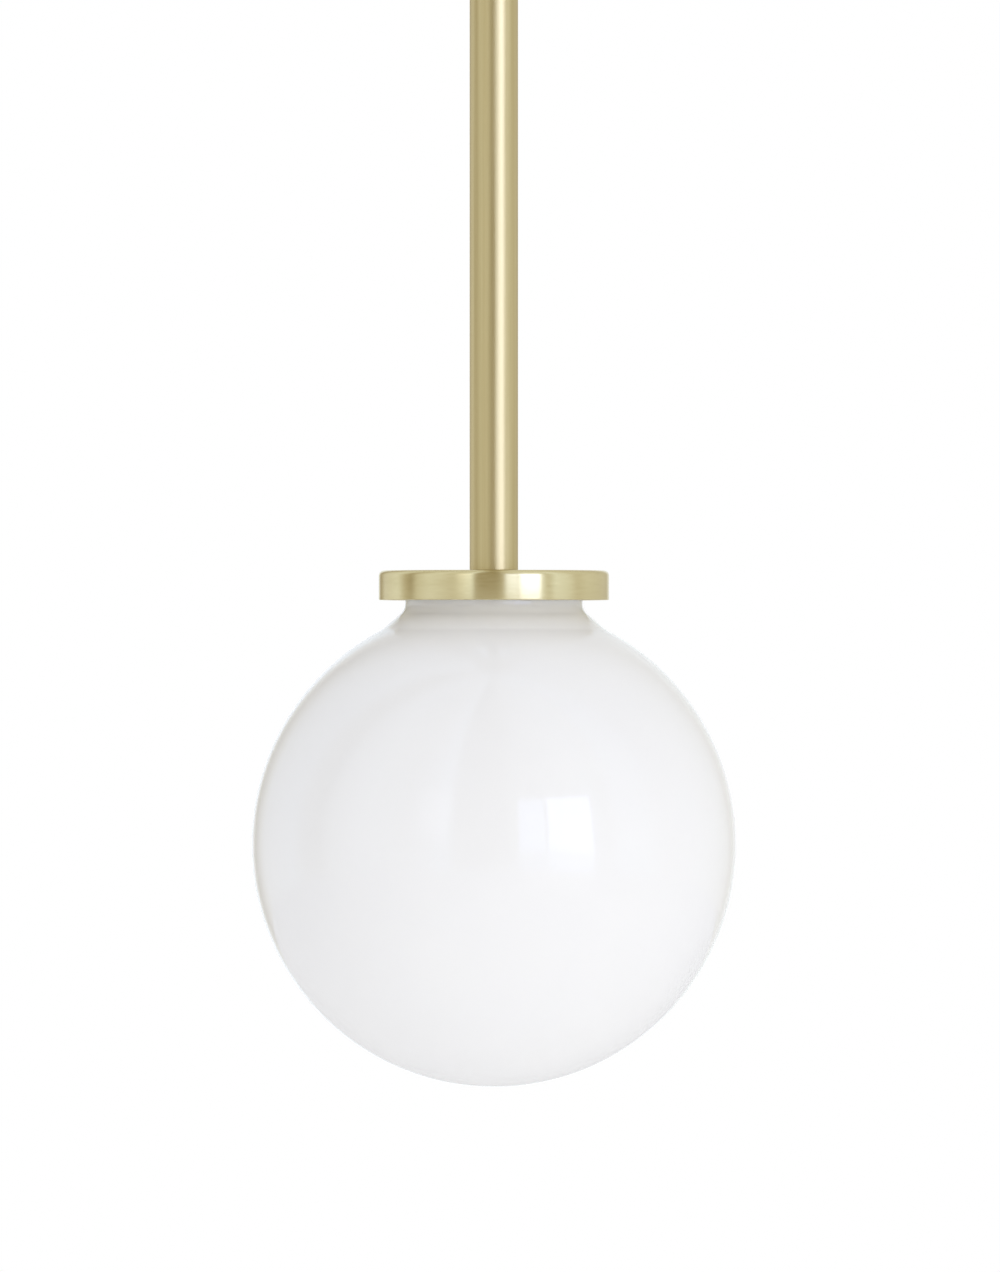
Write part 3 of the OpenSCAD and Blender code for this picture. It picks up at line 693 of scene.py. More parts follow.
for bush in ("rod_top_bush", "rod_bottom_bush"):
    low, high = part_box(bush)
    section = ringProfile(rod["bush bore"], rodBore - rod["bush play"], low.z, high.z,
                          rod["bush edge"])
    sleeve = turnOnLathe(bush, section, steps=96)
    settle(sleeve, "turned_" + bush, rawBrass, "pendant", "raw_brass", bush)
print("rod drawn")


# ceiling canopy

canopy = {"radius": 52 * mm, "wall": 1.2 * mm, "edge": 1.6 * mm, "lip": 0.25 * mm,
          "hole": 10.54 * mm, "inside": 0.5 * mm, "screw hole": 2.2 * mm, "drill in": 4 * mm}
canopyLow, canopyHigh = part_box("canopy")
sideScrewHeight = middleOf("canopy_screws").z
spunCanopy = turnOnLathe("spun_canopy", cupProfile(canopy, canopyLow.z, canopyHigh.z), steps=192)
for side in (-1, 1):
    start = Vector((side * (canopy["radius"] - canopy["drill in"]), 0, sideScrewHeight))
    end = start + Vector((side * 2 * canopy["drill in"], 0, 0))
    drill(spunCanopy, start, end, canopy["screw hole"])
settle(spunCanopy, "spun_canopy", turnedBrass, "ceiling", "brushed_brass", "canopy")
print("canopy spun")


# screws

def makeScrew(size):
    # head standing on z = 0, threaded shank below it, slot across
    head, top, corner = size["head"], size["head high"], size["round"]
    root, low = size["thread"] - size["depth"], -size["long"]
    relief, edge = 0.2 * mm, 0.15 * mm
    tip = 0.5 * size["depth"] + relief
    profile = (
        [(0, low), (root - tip, low), (root, low + tip), (root, -relief), (root + relief, 0),
         (head - edge, 0), (head, edge)]
        + arc((head - corner, top - corner), corner, 0, 90, 6)[:-1]
        + [(head * 0.45, top), (0, top)]
    )
    screw = turnOnLathe("screw", profile, steps=size["sides"], closed=False)
    half = size["slot"] / 2
    mill(screw, (-2 * head, -half, top - size["slot deep"]), (2 * head, half, top + past))
    crest = threadCrest(size["thread"], size["depth"], size["pitch"],
                        low + size["pitch"], -size["pitch"] * 0.7)
    combine(screw, crest, "UNION")
    cleanMesh(screw)
    return screw


canopyScrew = {"thread": 2 * mm, "depth": 0.38 * mm, "pitch": 0.7 * mm, "long": 6.7 * mm,
               "head": 4 * mm, "head high": 3 * mm, "round": 0.6 * mm, "slot": 0.8 * mm,
               "slot deep": 1 * mm, "sides": 48, "stands out": 52.05 * mm}
master = makeScrew(canopyScrew)
screws = [copyTo(master, (side * canopyScrew["stands out"], 0, sideScrewHeight), (0, side * 90, 0))
          for side in (-1, 1)]
discard(master)
settle(join(screws), "canopy_side_screws", rawBrass, "ceiling", "brushed_brass", "canopy_screws")

earthScrew = {"thread": 2 * mm, "depth": 0.38 * mm, "pitch": 0.7 * mm, "long": 4.8 * mm,
              "head": 3.8 * mm, "head high": 2.4 * mm, "round": 0.9 * mm, "slot": 0.8 * mm,
              "slot deep": 1.2 * mm, "sides": 48, "slot turned": 25}
earthMiddle = middleOf("earth_screw")
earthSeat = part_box("earth_screw")[0].z + earthScrew["long"]
settle(moveTo(makeScrew(earthScrew), (earthMiddle.x, earthMiddle.y, earthSeat),
              (0, 0, earthScrew["slot turned"])),
       "earth_clamp_screw", rawBrass, "ceiling", "raw_brass", "earth_screw")

blockScrew = {"thread": 1.4 * mm, "depth": 0.28 * mm, "pitch": 0.5 * mm, "long": 10 * mm,
              "head": 2.66 * mm, "head high": 1.68 * mm, "round": 0.6 * mm, "slot": 0.56 * mm,
              "slot deep": 0.84 * mm, "sides": 48, "slot turned": -15}
low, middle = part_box("block_screw")[0], middleOf("block_screw")
settle(moveTo(makeScrew(blockScrew), (middle.x, middle.y, low.z + blockScrew["long"]),
              (0, 0, blockScrew["slot turned"])),
       "block_fixing_screw", zincSteel, "ceiling", "zinc_steel", "block_screw")
print("screws cut")


# hanger bracket: one strip of sheet folded at six places, with a shelf for the terminals

bracket = {"sheet": 2 * mm, "width": 30 * mm, "bend": 2 * mm, "leg": 18 * mm, "tab": 8 * mm,
           "tab below screw": 6 * mm, "tab fold": 4.1 * mm, "trim": 2 * mm, "notch": 1.2 * mm,
           "slot spacing": 60 * mm, "slot": 4.6 * mm, "slot long": 14 * mm,
           "seat hole": 10.63 * mm, "tab hole": 2.06 * mm, "tab drilled": 6 * mm,
           "block hole": 1.46 * mm, "earth hole": 2.06 * mm, "shelf left": -26 * mm,
           "shelf right": 13 * mm, "shelf laps": 0.2 * mm, "shelf corner": 3 * mm,
           "edge": 0.15 * mm}
strapLow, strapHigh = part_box("hanger_bracket")
plateTop = strapLow.z + bracket["sheet"]
through = 5 * mm  # how far a cutter reaches on both sides of a sheet that it goes through


def foldBracket():
    half = bracket["sheet"] / 2
    wide = bracket["width"] / 2
    leg, tab = bracket["leg"], bracket["tab"]
    out, foot, plate = strapHigh.x - half, strapHigh.z - half, plateTop - half
    tabEnd = sideScrewHeight - bracket["tab below screw"]
    end = tabEnd - bracket["trim"]
    strap = bentStrip([(out, end), (out, foot), (leg, foot), (leg, plate),
                       (-leg, plate), (-leg, foot), (-out, foot), (-out, end)],
                      bracket["bend"], bracket["sheet"], -wide, wide)
    shelf = block((bracket["shelf left"], wide - bracket["shelf laps"], strapLow.z),
                  (bracket["shelf right"], strapHigh.y, plateTop))
    selectEdges(shelf, lambda a, b: abs(a.z - b.z) > half and min(a.y, b.y) > strapHigh.y - flat)
    bpy.ops.mesh.bevel(offset=bracket["shelf corner"], segments=8, affect="EDGES")
    bpy.ops.object.mode_set(mode="OBJECT")
    combine(strap, shelf, "UNION")
    # the ends are rounded to fit in the canopy
    rounding = roundBar((0, 0, strapLow.z - through), (0, 0, strapHigh.z + through),
                        strapHigh.x, sides=192)
    combine(strap, rounding, "INTERSECT")
    for side in (-1, 1):
        # the tab is cut clear of the foot on both sides, its end is trimmed and its fold relieved
        near, far = sorted((side * (strapHigh.x - bracket["tab fold"]),
                            side * (strapHigh.x + past)))
        mill(strap, (near, -wide, end - through), (far, wide, tabEnd))
        for front in (-1, 1):
            inner, outer = sorted((front * tab, front * (wide + past)))
            mill(strap, (near, inner, end - through), (far, outer, strapHigh.z - bracket["sheet"]))
            inner, outer = sorted((front * tab, front * (tab + bracket["notch"])))
            mill(strap, (near, inner, end - through), (far, outer, strapHigh.z + past))
        # fixing slot in the foot, threaded hole in the tab
        across, slot = side * bracket["slot spacing"] / 2, bracket["slot"] / 2
        reach = (bracket["slot long"] - bracket["slot"]) / 2
        mill(strap, (across - reach, -slot, strapHigh.z - through),
             (across + reach, slot, strapHigh.z + past))
        for tip in (-reach, reach):
            drill(strap, (across + tip, 0, strapHigh.z - through),
                  (across + tip, 0, strapHigh.z + past), slot)
        drill(strap, (side * (strapHigh.x - bracket["tab drilled"]), 0, sideScrewHeight),
              (side * (strapHigh.x + 2 * past), 0, sideScrewHeight), bracket["tab hole"])
    for node, radius in (("block_screw", bracket["block hole"]),
                         ("earth_screw", bracket["earth hole"]),
                         ("ball_seat", bracket["seat hole"])):
        at = middleOf(node)
        drill(strap, (at.x, at.y, strapLow.z - past), (at.x, at.y, plateTop + past), radius,
              sides=64)
    cleanMesh(strap)
    soften(strap, bracket["edge"], angle=50)
    return strap


settle(foldBracket(), "folded_bracket", zincSteel, "ceiling", "zinc_steel", "hanger_bracket")
print("bracket folded")


# swivel: a ball turned on a threaded stem, in a seat with slots for its two guide pins

swivelLow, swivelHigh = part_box("swivel_ball")
ball = {"radius": 9 * mm, "top above middle": 6.5 * mm, "bore": 3.6 * mm, "stem": 5 * mm,
        "thread": 0.45 * mm, "pitch": 1 * mm, "pin hole": 1.31 * mm, "pin hole from": 4.6 * mm,
        "edge": 0.3 * mm, "shoulder": 0.2 * mm}
ballMiddle = swivelHigh.z - ball["top above middle"]


def turnBall():
    radius, stem, bore, edge = ball["radius"], ball["stem"], ball["bore"], ball["edge"]
    root = stem - ball["thread"]
    latitude = math.degrees(math.asin(ball["top above middle"] / radius))
    waist = -math.degrees(math.acos(stem / radius))
    profile = (
        [(bore, swivelHigh.z - edge), (bore + edge, swivelHigh.z)]
        + arc((0, ballMiddle), radius, latitude, waist, 40)
        + [(stem, rodHigh.z + ball["shoulder"]), (root, rodHigh.z - ball["shoulder"]),
           (root, swivelLow.z + edge), (root - edge, swivelLow.z),
           (bore + edge, swivelLow.z), (bore, swivelLow.z + edge)]
    )
    piece = turnOnLathe("swivel_ball", profile, steps=128)
    pitch = ball["pitch"]
    crest = threadCrest(stem, ball["thread"], pitch, swivelLow.z + pitch, rodHigh.z - pitch)
    combine(piece, crest, "UNION")
    for side in (-1, 1):
        drill(piece, (side * ball["pin hole from"], 0, ballMiddle),
              (side * 2 * radius, 0, ballMiddle), ball["pin hole"], sides=32)
    return piece


settle(turnBall(), "turned_ball", rawBrass, "pendant", "raw_brass", "swivel_ball")

seatLow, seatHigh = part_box("ball_seat")
seat = {"flange": 13 * mm, "body": 10.6 * mm, "collar": 9.6 * mm, "cup": 9.06 * mm,
        "mouth": 7.39 * mm, "slot": 1.4 * mm, "edge": 0.3 * mm}


def turnSeat():
    flange, edge, mouth = seat["flange"], seat["edge"], seat["mouth"]
    dip = -math.degrees(math.acos(mouth / seat["cup"]))
    profile = (
        [(seat["collar"], seatHigh.z - edge), (seat["collar"] + edge, seatHigh.z),
         (flange - edge, seatHigh.z), (flange, seatHigh.z - edge),
         (flange, plateTop + edge), (flange - edge, plateTop), (seat["body"], plateTop),
         (seat["body"], seatLow.z + edge), (seat["body"] - edge, seatLow.z),
         (mouth + edge, seatLow.z), (mouth, seatLow.z + edge)]
        + arc((0, ballMiddle), seat["cup"], dip, 0, 24)
        + [(seat["collar"], ballMiddle)]
    )
    piece = turnOnLathe("ball_seat", profile, steps=128)
    mill(piece, (-flange - past, -seat["slot"], plateTop),
         (flange + past, seat["slot"], seatHigh.z + past))
    return piece


settle(turnSeat(), "turned_seat", rawBrass, "ceiling", "raw_brass", "ball_seat")

guidePin = {"radius": 1.25 * mm, "inner end": 4.8 * mm, "edge": 0.3 * mm}
inner, outer = guidePin["inner end"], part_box("guide_pins")[1].x
radius, edge = guidePin["radius"], guidePin["edge"]
dowel = turnOnLathe("guide_pin", [(0, inner), (radius - edge, inner), (radius, inner + edge),
                                  (radius, outer - edge), (radius - edge, outer), (0, outer)],
                    steps=32, closed=False)
pinHeight = middleOf("guide_pins").z
pins = [copyTo(dowel, (0, 0, pinHeight), (0, side * 90, 0)) for side in (-1, 1)]
discard(dowel)
settle(join(pins), "swivel_guide_pins", zincSteel, "swivel", "zinc_steel", "guide_pins")
print("swivel turned")


# terminals

blockLow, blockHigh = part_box("terminal_block")
blockMiddle = middleOf("terminal_block")
terminal = {"pole": 5 * mm, "pole above plate": 6.5 * mm, "clamp": 2.4 * mm, "clamp bore": 1.6 * mm,
            "clamp play": 0.03 * mm, "clamp edge": 0.2 * mm, "web": 0.8 * mm,
            "screws out": 5 * mm, "screw well": 1.9 * mm, "tapping": 1.31 * mm,
            "fixing": 1.6 * mm, "fixing well": 2.7 * mm, "fixing seat": 7 * mm,
            "corner": 0.8 * mm, "valley": 1.1 * mm, "valley deep": 4 * mm,
            "shoulder": 1.6 * mm, "shoulder deep": 3.5 * mm, "lead screw down": 0.7 * mm}
poleHeight = plateTop + terminal["pole above plate"]


def mouldBlock():
    body = block(blockLow, blockHigh)
    front, back, over = blockLow.y - past, blockHigh.y + past, blockHigh.z + past
    mill(body, (-terminal["valley"], front, blockHigh.z - terminal["valley deep"]),
         (terminal["valley"], back, over))
    for side in (-1, 1):
        near, far = sorted((side * (blockHigh.x - terminal["shoulder"]),
                            side * (blockHigh.x + past)))
        mill(body, (near, front, blockHigh.z - terminal["shoulder deep"]), (far, back, over))
    cleanMesh(body)
    soften(body, terminal["corner"], segments=4)
    for side in (-1, 1):
        across = side * terminal["pole"]
        drill(body, (across, front, poleHeight), (across, back, poleHeight),
              terminal["clamp"] + terminal["clamp play"])
        for end in (-1, 1):
            along = blockMiddle.y + end * terminal["screws out"]
            drill(body, (across, along, poleHeight), (across, along, over), terminal["screw well"])
    seatHeight = plateTop + terminal["fixing seat"]
    drill(body, (0, blockMiddle.y, blockLow.z - past), (0, blockMiddle.y, over), terminal["fixing"])
    drill(body, (0, blockMiddle.y, seatHeight), (0, blockMiddle.y, over), terminal["fixing well"])
    return body


settle(mouldBlock(), "moulded_terminal_block", nylon, "ceiling", "nylon", "terminal_block")


def boreClamp():
    # a short brass bar bored from both ends, with a web of metal left between the two wires
    half, web = (blockHigh.y - blockLow.y) / 2, terminal["web"]
    outer, bore, edge = terminal["clamp"], terminal["clamp bore"], terminal["clamp edge"]
    profile = [
        (0, web), (bore, web), (bore, half - edge), (bore + edge, half),
        (outer - edge, half), (outer, half - edge), (outer, -half + edge), (outer - edge, -half),
        (bore + edge, -half), (bore, -half + edge), (bore, -web), (0, -web),
    ]
    bar = turnOnLathe("clamp", profile, steps=48, closed=False)
    moveTo(bar, turn=(90, 0, 0))
    for end in (-1, 1):
        along = end * terminal["screws out"]
        drill(bar, (0, along, 0), (0, along, 2 * outer), terminal["tapping"], sides=32)
    return bar


clamp = boreClamp()
clamps = [copyTo(clamp, (side * terminal["pole"], blockMiddle.y, poleHeight)) for side in (-1, 1)]
discard(clamp)
settle(join(clamps), "bored_clamps", rawBrass, "ceiling", "raw_brass", "terminal_clamps")

clampScrew = {"thread": 1.25 * mm, "depth": 0.22 * mm, "pitch": 0.45 * mm, "long": 1.6 * mm,
              "head": 1.7 * mm, "head high": 2.4 * mm, "round": 0.3 * mm, "slot": 0.5 * mm,
              "slot deep": 0.7 * mm, "sides": 32}
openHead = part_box("terminal_screws")[1].z - clampScrew["head high"]
master = makeScrew(clampScrew)
screws = []
for side in (-1, 1):
    for end in (-1, 1):
        # the screws on the leads are done up, the two for the supply stand open
        head = openHead - (terminal["lead screw down"] if end < 0 else 0)
        along = blockMiddle.y + end * terminal["screws out"]
        screws.append(copyTo(master, (side * terminal["pole"], along, head),
                             (0, 0, 40 * side + 15 * end)))
discard(master)
settle(join(screws), "clamp_screws", zincSteel, "ceiling", "zinc_steel", "terminal_screws")

tagSheet = {"thick": 0.8 * mm, "tongue": 3.2 * mm, "edge": 0.1 * mm, "laps": 1.5 * mm}
crimp = {"lead": 0.92 * mm, "wall": 0.45 * mm, "long": 3.6 * mm, "past tongue": 0.2 * mm,
         "edge": 0.15 * mm, "seam": 0.85, "pinch": 0.72}


def stampTag(size, crimpDrop):
    # a ring tag along +X with its top on z = 0; its barrel is rolled round the lead above or
    # below it
    eye, reach, lead = size["eye"], size["reach"], crimp["lead"]
    thick, tongue = tagSheet["thick"], tagSheet["tongue"] / 2
    ring = turnOnLathe("tag", ringProfile(size["bore"], eye, -thick, 0, tagSheet["edge"]), steps=64)
    combine(ring, block((eye - tagSheet["laps"], -tongue, -thick), (reach, tongue, 0)), "UNION")
    cleanMesh(ring)
    soften(ring, tagSheet["edge"], angle=60)
    section = ringProfile(lead, lead + crimp["wall"], reach - crimp["long"],
                          reach + crimp["past tongue"], crimp["edge"])
    barrel = turnOnLathe("barrel", section, steps=32)
    # pinched along its seam
    seam = math.copysign(1, crimpDrop)
    selectWhere(barrel, lambda co: seam * co.x > lead * crimp["seam"])
    bpy.ops.transform.resize(value=(crimp["pinch"], 1, 1), center_override=(0, 0, 0))
    bpy.ops.object.mode_set(mode="OBJECT")
    moveTo(barrel, turn=(0, 90, 0))
    moveTo(barrel, (0, 0, crimpDrop))
    return join([ring, barrel])


bracketTag = {"bore": 2.2 * mm, "eye": 4.2 * mm, "reach": 7.5 * mm, "turn": -50,
              "lead above": 1 * mm}
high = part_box("bracket_earth_tag")[1]
settle(moveTo(stampTag(bracketTag, bracketTag["lead above"]),
              (earthMiddle.x, earthMiddle.y, high.z), (0, 0, bracketTag["turn"])),
       "stamped_bracket_tag", tinnedCopper, "ceiling", "tinned_copper", "bracket_earth_tag")

capTag = {"bore": 5.06 * mm, "eye": 7.26 * mm, "reach": 13 * mm, "turn": -90,
          "lead below": 1.9 * mm}
tagLow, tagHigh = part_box("cap_earth_tag")
settle(moveTo(stampTag(capTag, -capTag["lead below"]), (0, 0, tagHigh.z), (0, 0, capTag["turn"])),
       "stamped_cap_tag", tinnedCopper, "pendant", "tinned_copper", "cap_earth_tag")
print("terminals made")


# nipple, washer and nut that hold the cap to the rod

nippleLow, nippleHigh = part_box("cap_nipple")
nipple = {"thread": 5 * mm, "depth": 0.45 * mm, "pitch": 1 * mm, "bore": 4 * mm, "edge": 0.25 * mm}
root, runOut = nipple["thread"] - nipple["depth"], nipple["pitch"] * 0.7
section = ringProfile(nipple["bore"], root, nippleLow.z, nippleHigh.z, nipple["edge"])
threadedNipple = turnOnLathe("nipple", section, steps=64)
crest = threadCrest(nipple["thread"], nipple["depth"], nipple["pitch"],
                    nippleLow.z + runOut, nippleHigh.z - runOut)
combine(threadedNipple, crest, "UNION")
settle(threadedNipple, "threaded_nipple", rawBrass, "pendant", "raw_brass", "cap_nipple")

washer = {"inner": 5.06 * mm, "ring": 6.5 * mm, "outer": 7.6 * mm, "teeth": 12,
          "tooth": 2.6 * mm, "taper": 0.75, "twist": 7.5, "thick": 0.45 * mm, "edge": 0.08 * mm,
          "laps": 0.5 * mm}


def stampWasher():
    # a flat ring with a crown of teeth, each twisted out of the ring's plane
    half, wide, height = washer["thick"] / 2, washer["tooth"] / 2, middleOf("shakeproof_washer").z
    section = ringProfile(washer["inner"], washer["ring"], height - half, height + half,
                          washer["edge"])
    flatRing = turnOnLathe("washer", section, steps=72)
    tooth = block((washer["ring"] - washer["laps"], -wide, -half), (washer["outer"], wide, half))
    selectWhere(tooth, lambda co: co.x > washer["ring"])
    bpy.ops.transform.resize(value=(1, washer["taper"], 1), center_override=(washer["outer"], 0, 0))
    bpy.ops.object.mode_set(mode="OBJECT")
    soften(tooth, washer["edge"])
    moveTo(tooth, turn=(washer["twist"], 0, 0))
    teeth = [copyTo(tooth, (0, 0, height), (0, 0, i * 360 / washer["teeth"]))
             for i in range(washer["teeth"])]
    discard(tooth)
    for each in teeth:
        combine(flatRing, each, "UNION")
    return flatRing


settle(stampWasher(), "toothed_washer", zincSteel, "pendant", "zinc_steel", "shakeproof_washer")

nutLow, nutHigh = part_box("cap_lock_nut")
nut = {"across flats": 17 * mm, "bore": 5.06 * mm, "chamfer": 0.6 * mm, "lead in": 0.4 * mm,
       "face in": 0.1 * mm, "disc out": 0.2 * mm, "disc over": 0.3 * mm}


def cutNut():
    corner = nut["across flats"] / 2 / math.cos(math.radians(30))
    deselectAll()
    bpy.ops.mesh.primitive_cylinder_add(vertices=6, radius=corner, depth=nutHigh.z - nutLow.z,
                                        location=middleOf("cap_lock_nut"),
                                        rotation=(0, 0, math.radians(30)))
    hexagon = bpy.context.object
    bpy.ops.object.transform_apply(location=True, rotation=True, scale=True)
    # both faces are chamfered by what they share with a disc that slopes at its rim
    facing = nut["across flats"] / 2 - nut["face in"]
    wide, over, chamfer = corner + nut["disc out"], nut["disc over"], nut["chamfer"]
    slope = chamfer / (wide - facing)
    narrow = facing - over / slope
    disc = turnOnLathe("disc", [
        (0, nutLow.z - over), (narrow, nutLow.z - over), (wide, nutLow.z + chamfer),
        (wide, nutHigh.z - chamfer), (narrow, nutHigh.z + over), (0, nutHigh.z + over),
    ], steps=96, closed=False)
    combine(hexagon, disc, "INTERSECT")
    bore, leadIn = nut["bore"], nut["lead in"]
    hole = turnOnLathe("hole", [
        (0, nutLow.z - past), (bore + leadIn + past, nutLow.z - past), (bore, nutLow.z + leadIn),
        (bore, nutHigh.z - leadIn), (bore + leadIn + past, nutHigh.z + past), (0, nutHigh.z + past),
    ], steps=64, closed=False)
    combine(hexagon, hole)
    return hexagon


settle(cutNut(), "lock_nut", rawBrass, "pendant", "raw_brass", "cap_lock_nut")
print("nipple, washer and nut made")


# thread ring with four lugs, and the gasket above the glass

ringLow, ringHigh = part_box("thread_ring")
threadRing = {"outer": 34.47 * mm, "bore": 29.3 * mm, "edge": 0.3 * mm, "lug tip": 27.95 * mm,
              "lug": 6 * mm, "lug thick": 1.1 * mm, "lug laps": 0.6 * mm, "lug edge": 0.15 * mm,
              "lug round": 0.2 * mm, "lugs": 4, "first": 0.12, "drop": 1.65 * mm}


def turnThreadRing():
    bore, outer = threadRing["bore"], threadRing["outer"]
    section = ringProfile(bore, outer, ringLow.z, ringHigh.z, threadRing["edge"])
    ring = turnOnLathe("thread_ring", section, steps=160)
    half, wide = threadRing["lug thick"] / 2, threadRing["lug"] / 2
    section = ringProfile(threadRing["lug tip"], bore + threadRing["lug laps"], -half, half,
                          threadRing["lug edge"])
    lug = turnOnLathe("lug", section, steps=160)
    combine(lug, block((0, -wide, -past), (outer, wide, past)), "INTERSECT")
    soften(lug, threadRing["lug round"], angle=60)
    ribLow = rimTop - globe["rib below rim"] - globe["pitch"] * globe["turns"]
    for i in range(threadRing["lugs"]):
        turn = threadRing["first"] + i / threadRing["lugs"]
        level = ribLow + globe["pitch"] * turn - threadRing["drop"]
        combine(ring, copyTo(lug, (0, 0, level), (0, 0, 360 * turn)), "UNION")
    discard(lug)
    return ring


settle(turnThreadRing(), "lugged_ring", turnedBrass, "pendant", "turned_brass", "thread_ring")

gasketLow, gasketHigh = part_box("shade_gasket")
gasket = {"inner": 24.5 * mm, "outer": 27.65 * mm, "round": 0.3 * mm}
section = ringProfile(gasket["inner"], gasket["outer"], gasketLow.z, gasketHigh.z, gasket["round"])
settle(turnOnLathe("gasket", section, steps=128),
       "cut_gasket", silicone, "gasket", "silicone", "shade_gasket")
print("ring and gasket made")


# lampholder on its folded bracket

holderLow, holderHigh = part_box("lampholder")
hangerLow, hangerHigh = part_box("lampholder_bracket")
holder = {"corner": 1 * mm, "pin spacing": 9 * mm, "slot": 2.6 * mm, "slot wide": 3.4 * mm,
          "slot deep": 14 * mm, "lead in": 0.5 * mm, "lead out": 6.8 * mm,
          "lead hole": 1.1 * mm, "lead hole deep": 4 * mm, "screw below top": 5.5 * mm,
          "screw hole": 1.56 * mm, "screw deep": 2.5 * mm, "recess": 0.4 * mm,
          "recess in": 2 * mm, "recess round": 0.8 * mm}
hanger = {"sheet": 1.2 * mm, "bend": 1.6 * mm, "leg": 5 * mm, "leg corner": 2 * mm,
          "pad": 7.3 * mm, "pad edge": 0.2 * mm, "plate": 1.5 * mm, "plate above leg": 3 * mm,
          "nipple hole": 5.06 * mm, "screw hole": 1.7 * mm}
holderScrewHeight = holderHigh.z - holder["screw below top"]


def foldHolderBracket():
    sheet, legWide, deep = hanger["sheet"], hanger["leg"], hangerHigh.y
    leg, top = hangerHigh.x - sheet / 2, hangerHigh.z - sheet / 2
    strap = bentStrip([(-leg, hangerLow.z), (-leg, top), (leg, top), (leg, hangerLow.z)],
                      hanger["bend"], sheet, -deep, deep)
    left, right = hangerLow.x - past, hangerHigh.x + past
    for front in (-1, 1):
        inner, outer = sorted((front * legWide, front * (deep + past)))
        mill(strap, (left, inner, hangerLow.z - past),
             (right, outer, hangerHigh.z - hanger["plate above leg"]))
    # a pressed pad under the plate for the earth tag
    under, pad = hangerHigh.z - hanger["plate"], hanger["pad"]
    disc = turnOnLathe("pad", [(0, under), (pad - hanger["pad edge"], under),
                               (pad, hangerHigh.z - sheet), (pad, top), (0, top)],
                       steps=64, closed=False)
    combine(strap, disc, "UNION")
    drill(strap, (0, 0, hangerHigh.z - through), (0, 0, hangerHigh.z + past),
          hanger["nipple hole"], sides=64)
    drill(strap, (left, 0, holderScrewHeight), (right, 0, holderScrewHeight),
          hanger["screw hole"], sides=32)
    cleanMesh(strap)
    selectEdges(strap, lambda a, b: abs(a.x - b.x) > sheet / 2
                and max(a.z, b.z) < hangerLow.z + flat
                and abs(abs(a.y) - legWide) < flat and abs(abs(b.y) - legWide) < flat)
    bpy.ops.mesh.bevel(offset=hanger["leg corner"], segments=6, affect="EDGES")
    bpy.ops.object.mode_set(mode="OBJECT")
    return strap


settle(foldHolderBracket(), "folded_holder_bracket", zincSteel, "pendant", "zinc_steel",
       "lampholder_bracket")


def pressHolder():
    body = block(holderLow, holderHigh)
    soften(body, holder["corner"], segments=5)
    # a shallow recess in the face that the lamp comes up to, then the pin slots with a lead-in
    face, floor, edge = holderLow.z, holderLow.z + holder["recess"], holder["recess in"]
    recess = block((holderLow.x + edge, holderLow.y + edge, face - past),
                   (holderHigh.x - edge, holderHigh.y - edge, floor))
    soften(recess, holder["recess round"], segments=4)
    combine(body, recess)
    half, wide, leadIn = holder["slot"] / 2, holder["slot wide"] / 2, holder["lead in"]
    for side in (-1, 1):
        across = side * holder["pin spacing"] / 2
        mill(body, (across - half, -wide, face - past),
             (across + half, wide, face + holder["slot deep"]))
        mouth = block((across - half, -wide, floor - past), (across + half, wide, floor + leadIn))
        selectFaces(mouth, lambda normal: normal.z < -0.9)
        spread = leadIn * 2
        bpy.ops.transform.resize(value=(1 + spread / half, 1 + spread / wide, 1),
                                 center_override=(across, 0, face))
        bpy.ops.object.mode_set(mode="OBJECT")
        combine(body, mouth)
        out = side * holder["lead out"]
        drill(body, (out, 0, holderHigh.z - holder["lead hole deep"]),
              (out, 0, holderHigh.z + past), holder["lead hole"], sides=32)
        drill(body, (side * (holderHigh.x - holder["screw deep"]), 0, holderScrewHeight),
              (side * (holderHigh.x + past), 0, holderScrewHeight), holder["screw hole"], sides=32)
    return body


settle(pressHolder(), "steatite_holder", steatite, "pendant", "steatite", "lampholder")

contactLow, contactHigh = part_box("lampholder_contacts")
contact = {"sheet": 0.5 * mm, "bow": 0.2 * mm, "steps": 10}


def bowContact():
    # a spring strip bowed towards the lamp's pin
    across = contactHigh.x - contact["sheet"] / 2
    path = []
    for i in range(contact["steps"] + 1):
        part = i / contact["steps"]
        path.append((across - contact["bow"] * math.sin(math.pi * part), contactLow.y,
                     contactLow.z + (contactHigh.z - contactLow.z) * part))
    return drawOut(path, contact["sheet"], contactHigh.y - contactLow.y)


spring = bowContact()
springs = [copyTo(spring), copyTo(spring, turn=(0, 0, 180))]
discard(spring)
settle(join(springs), "spring_contacts", rawBrass, "pendant", "raw_brass", "lampholder_contacts")

holderScrew = {"thread": 1.5 * mm, "depth": 0.3 * mm, "pitch": 0.5 * mm, "long": 3.5 * mm,
               "head": 2.85 * mm, "head high": 1.8 * mm, "round": 0.8 * mm, "slot": 0.6 * mm,
               "slot deep": 0.9 * mm, "sides": 48}
master = makeScrew(holderScrew)
screws = [copyTo(master, (side * hangerHigh.x, 0, holderScrewHeight), (0, side * 90, 0))
          for side in (-1, 1)]
discard(master)
settle(join(screws), "holder_screws", zincSteel, "pendant", "zinc_steel", "lampholder_screws")
print("lampholder made")


# lamp

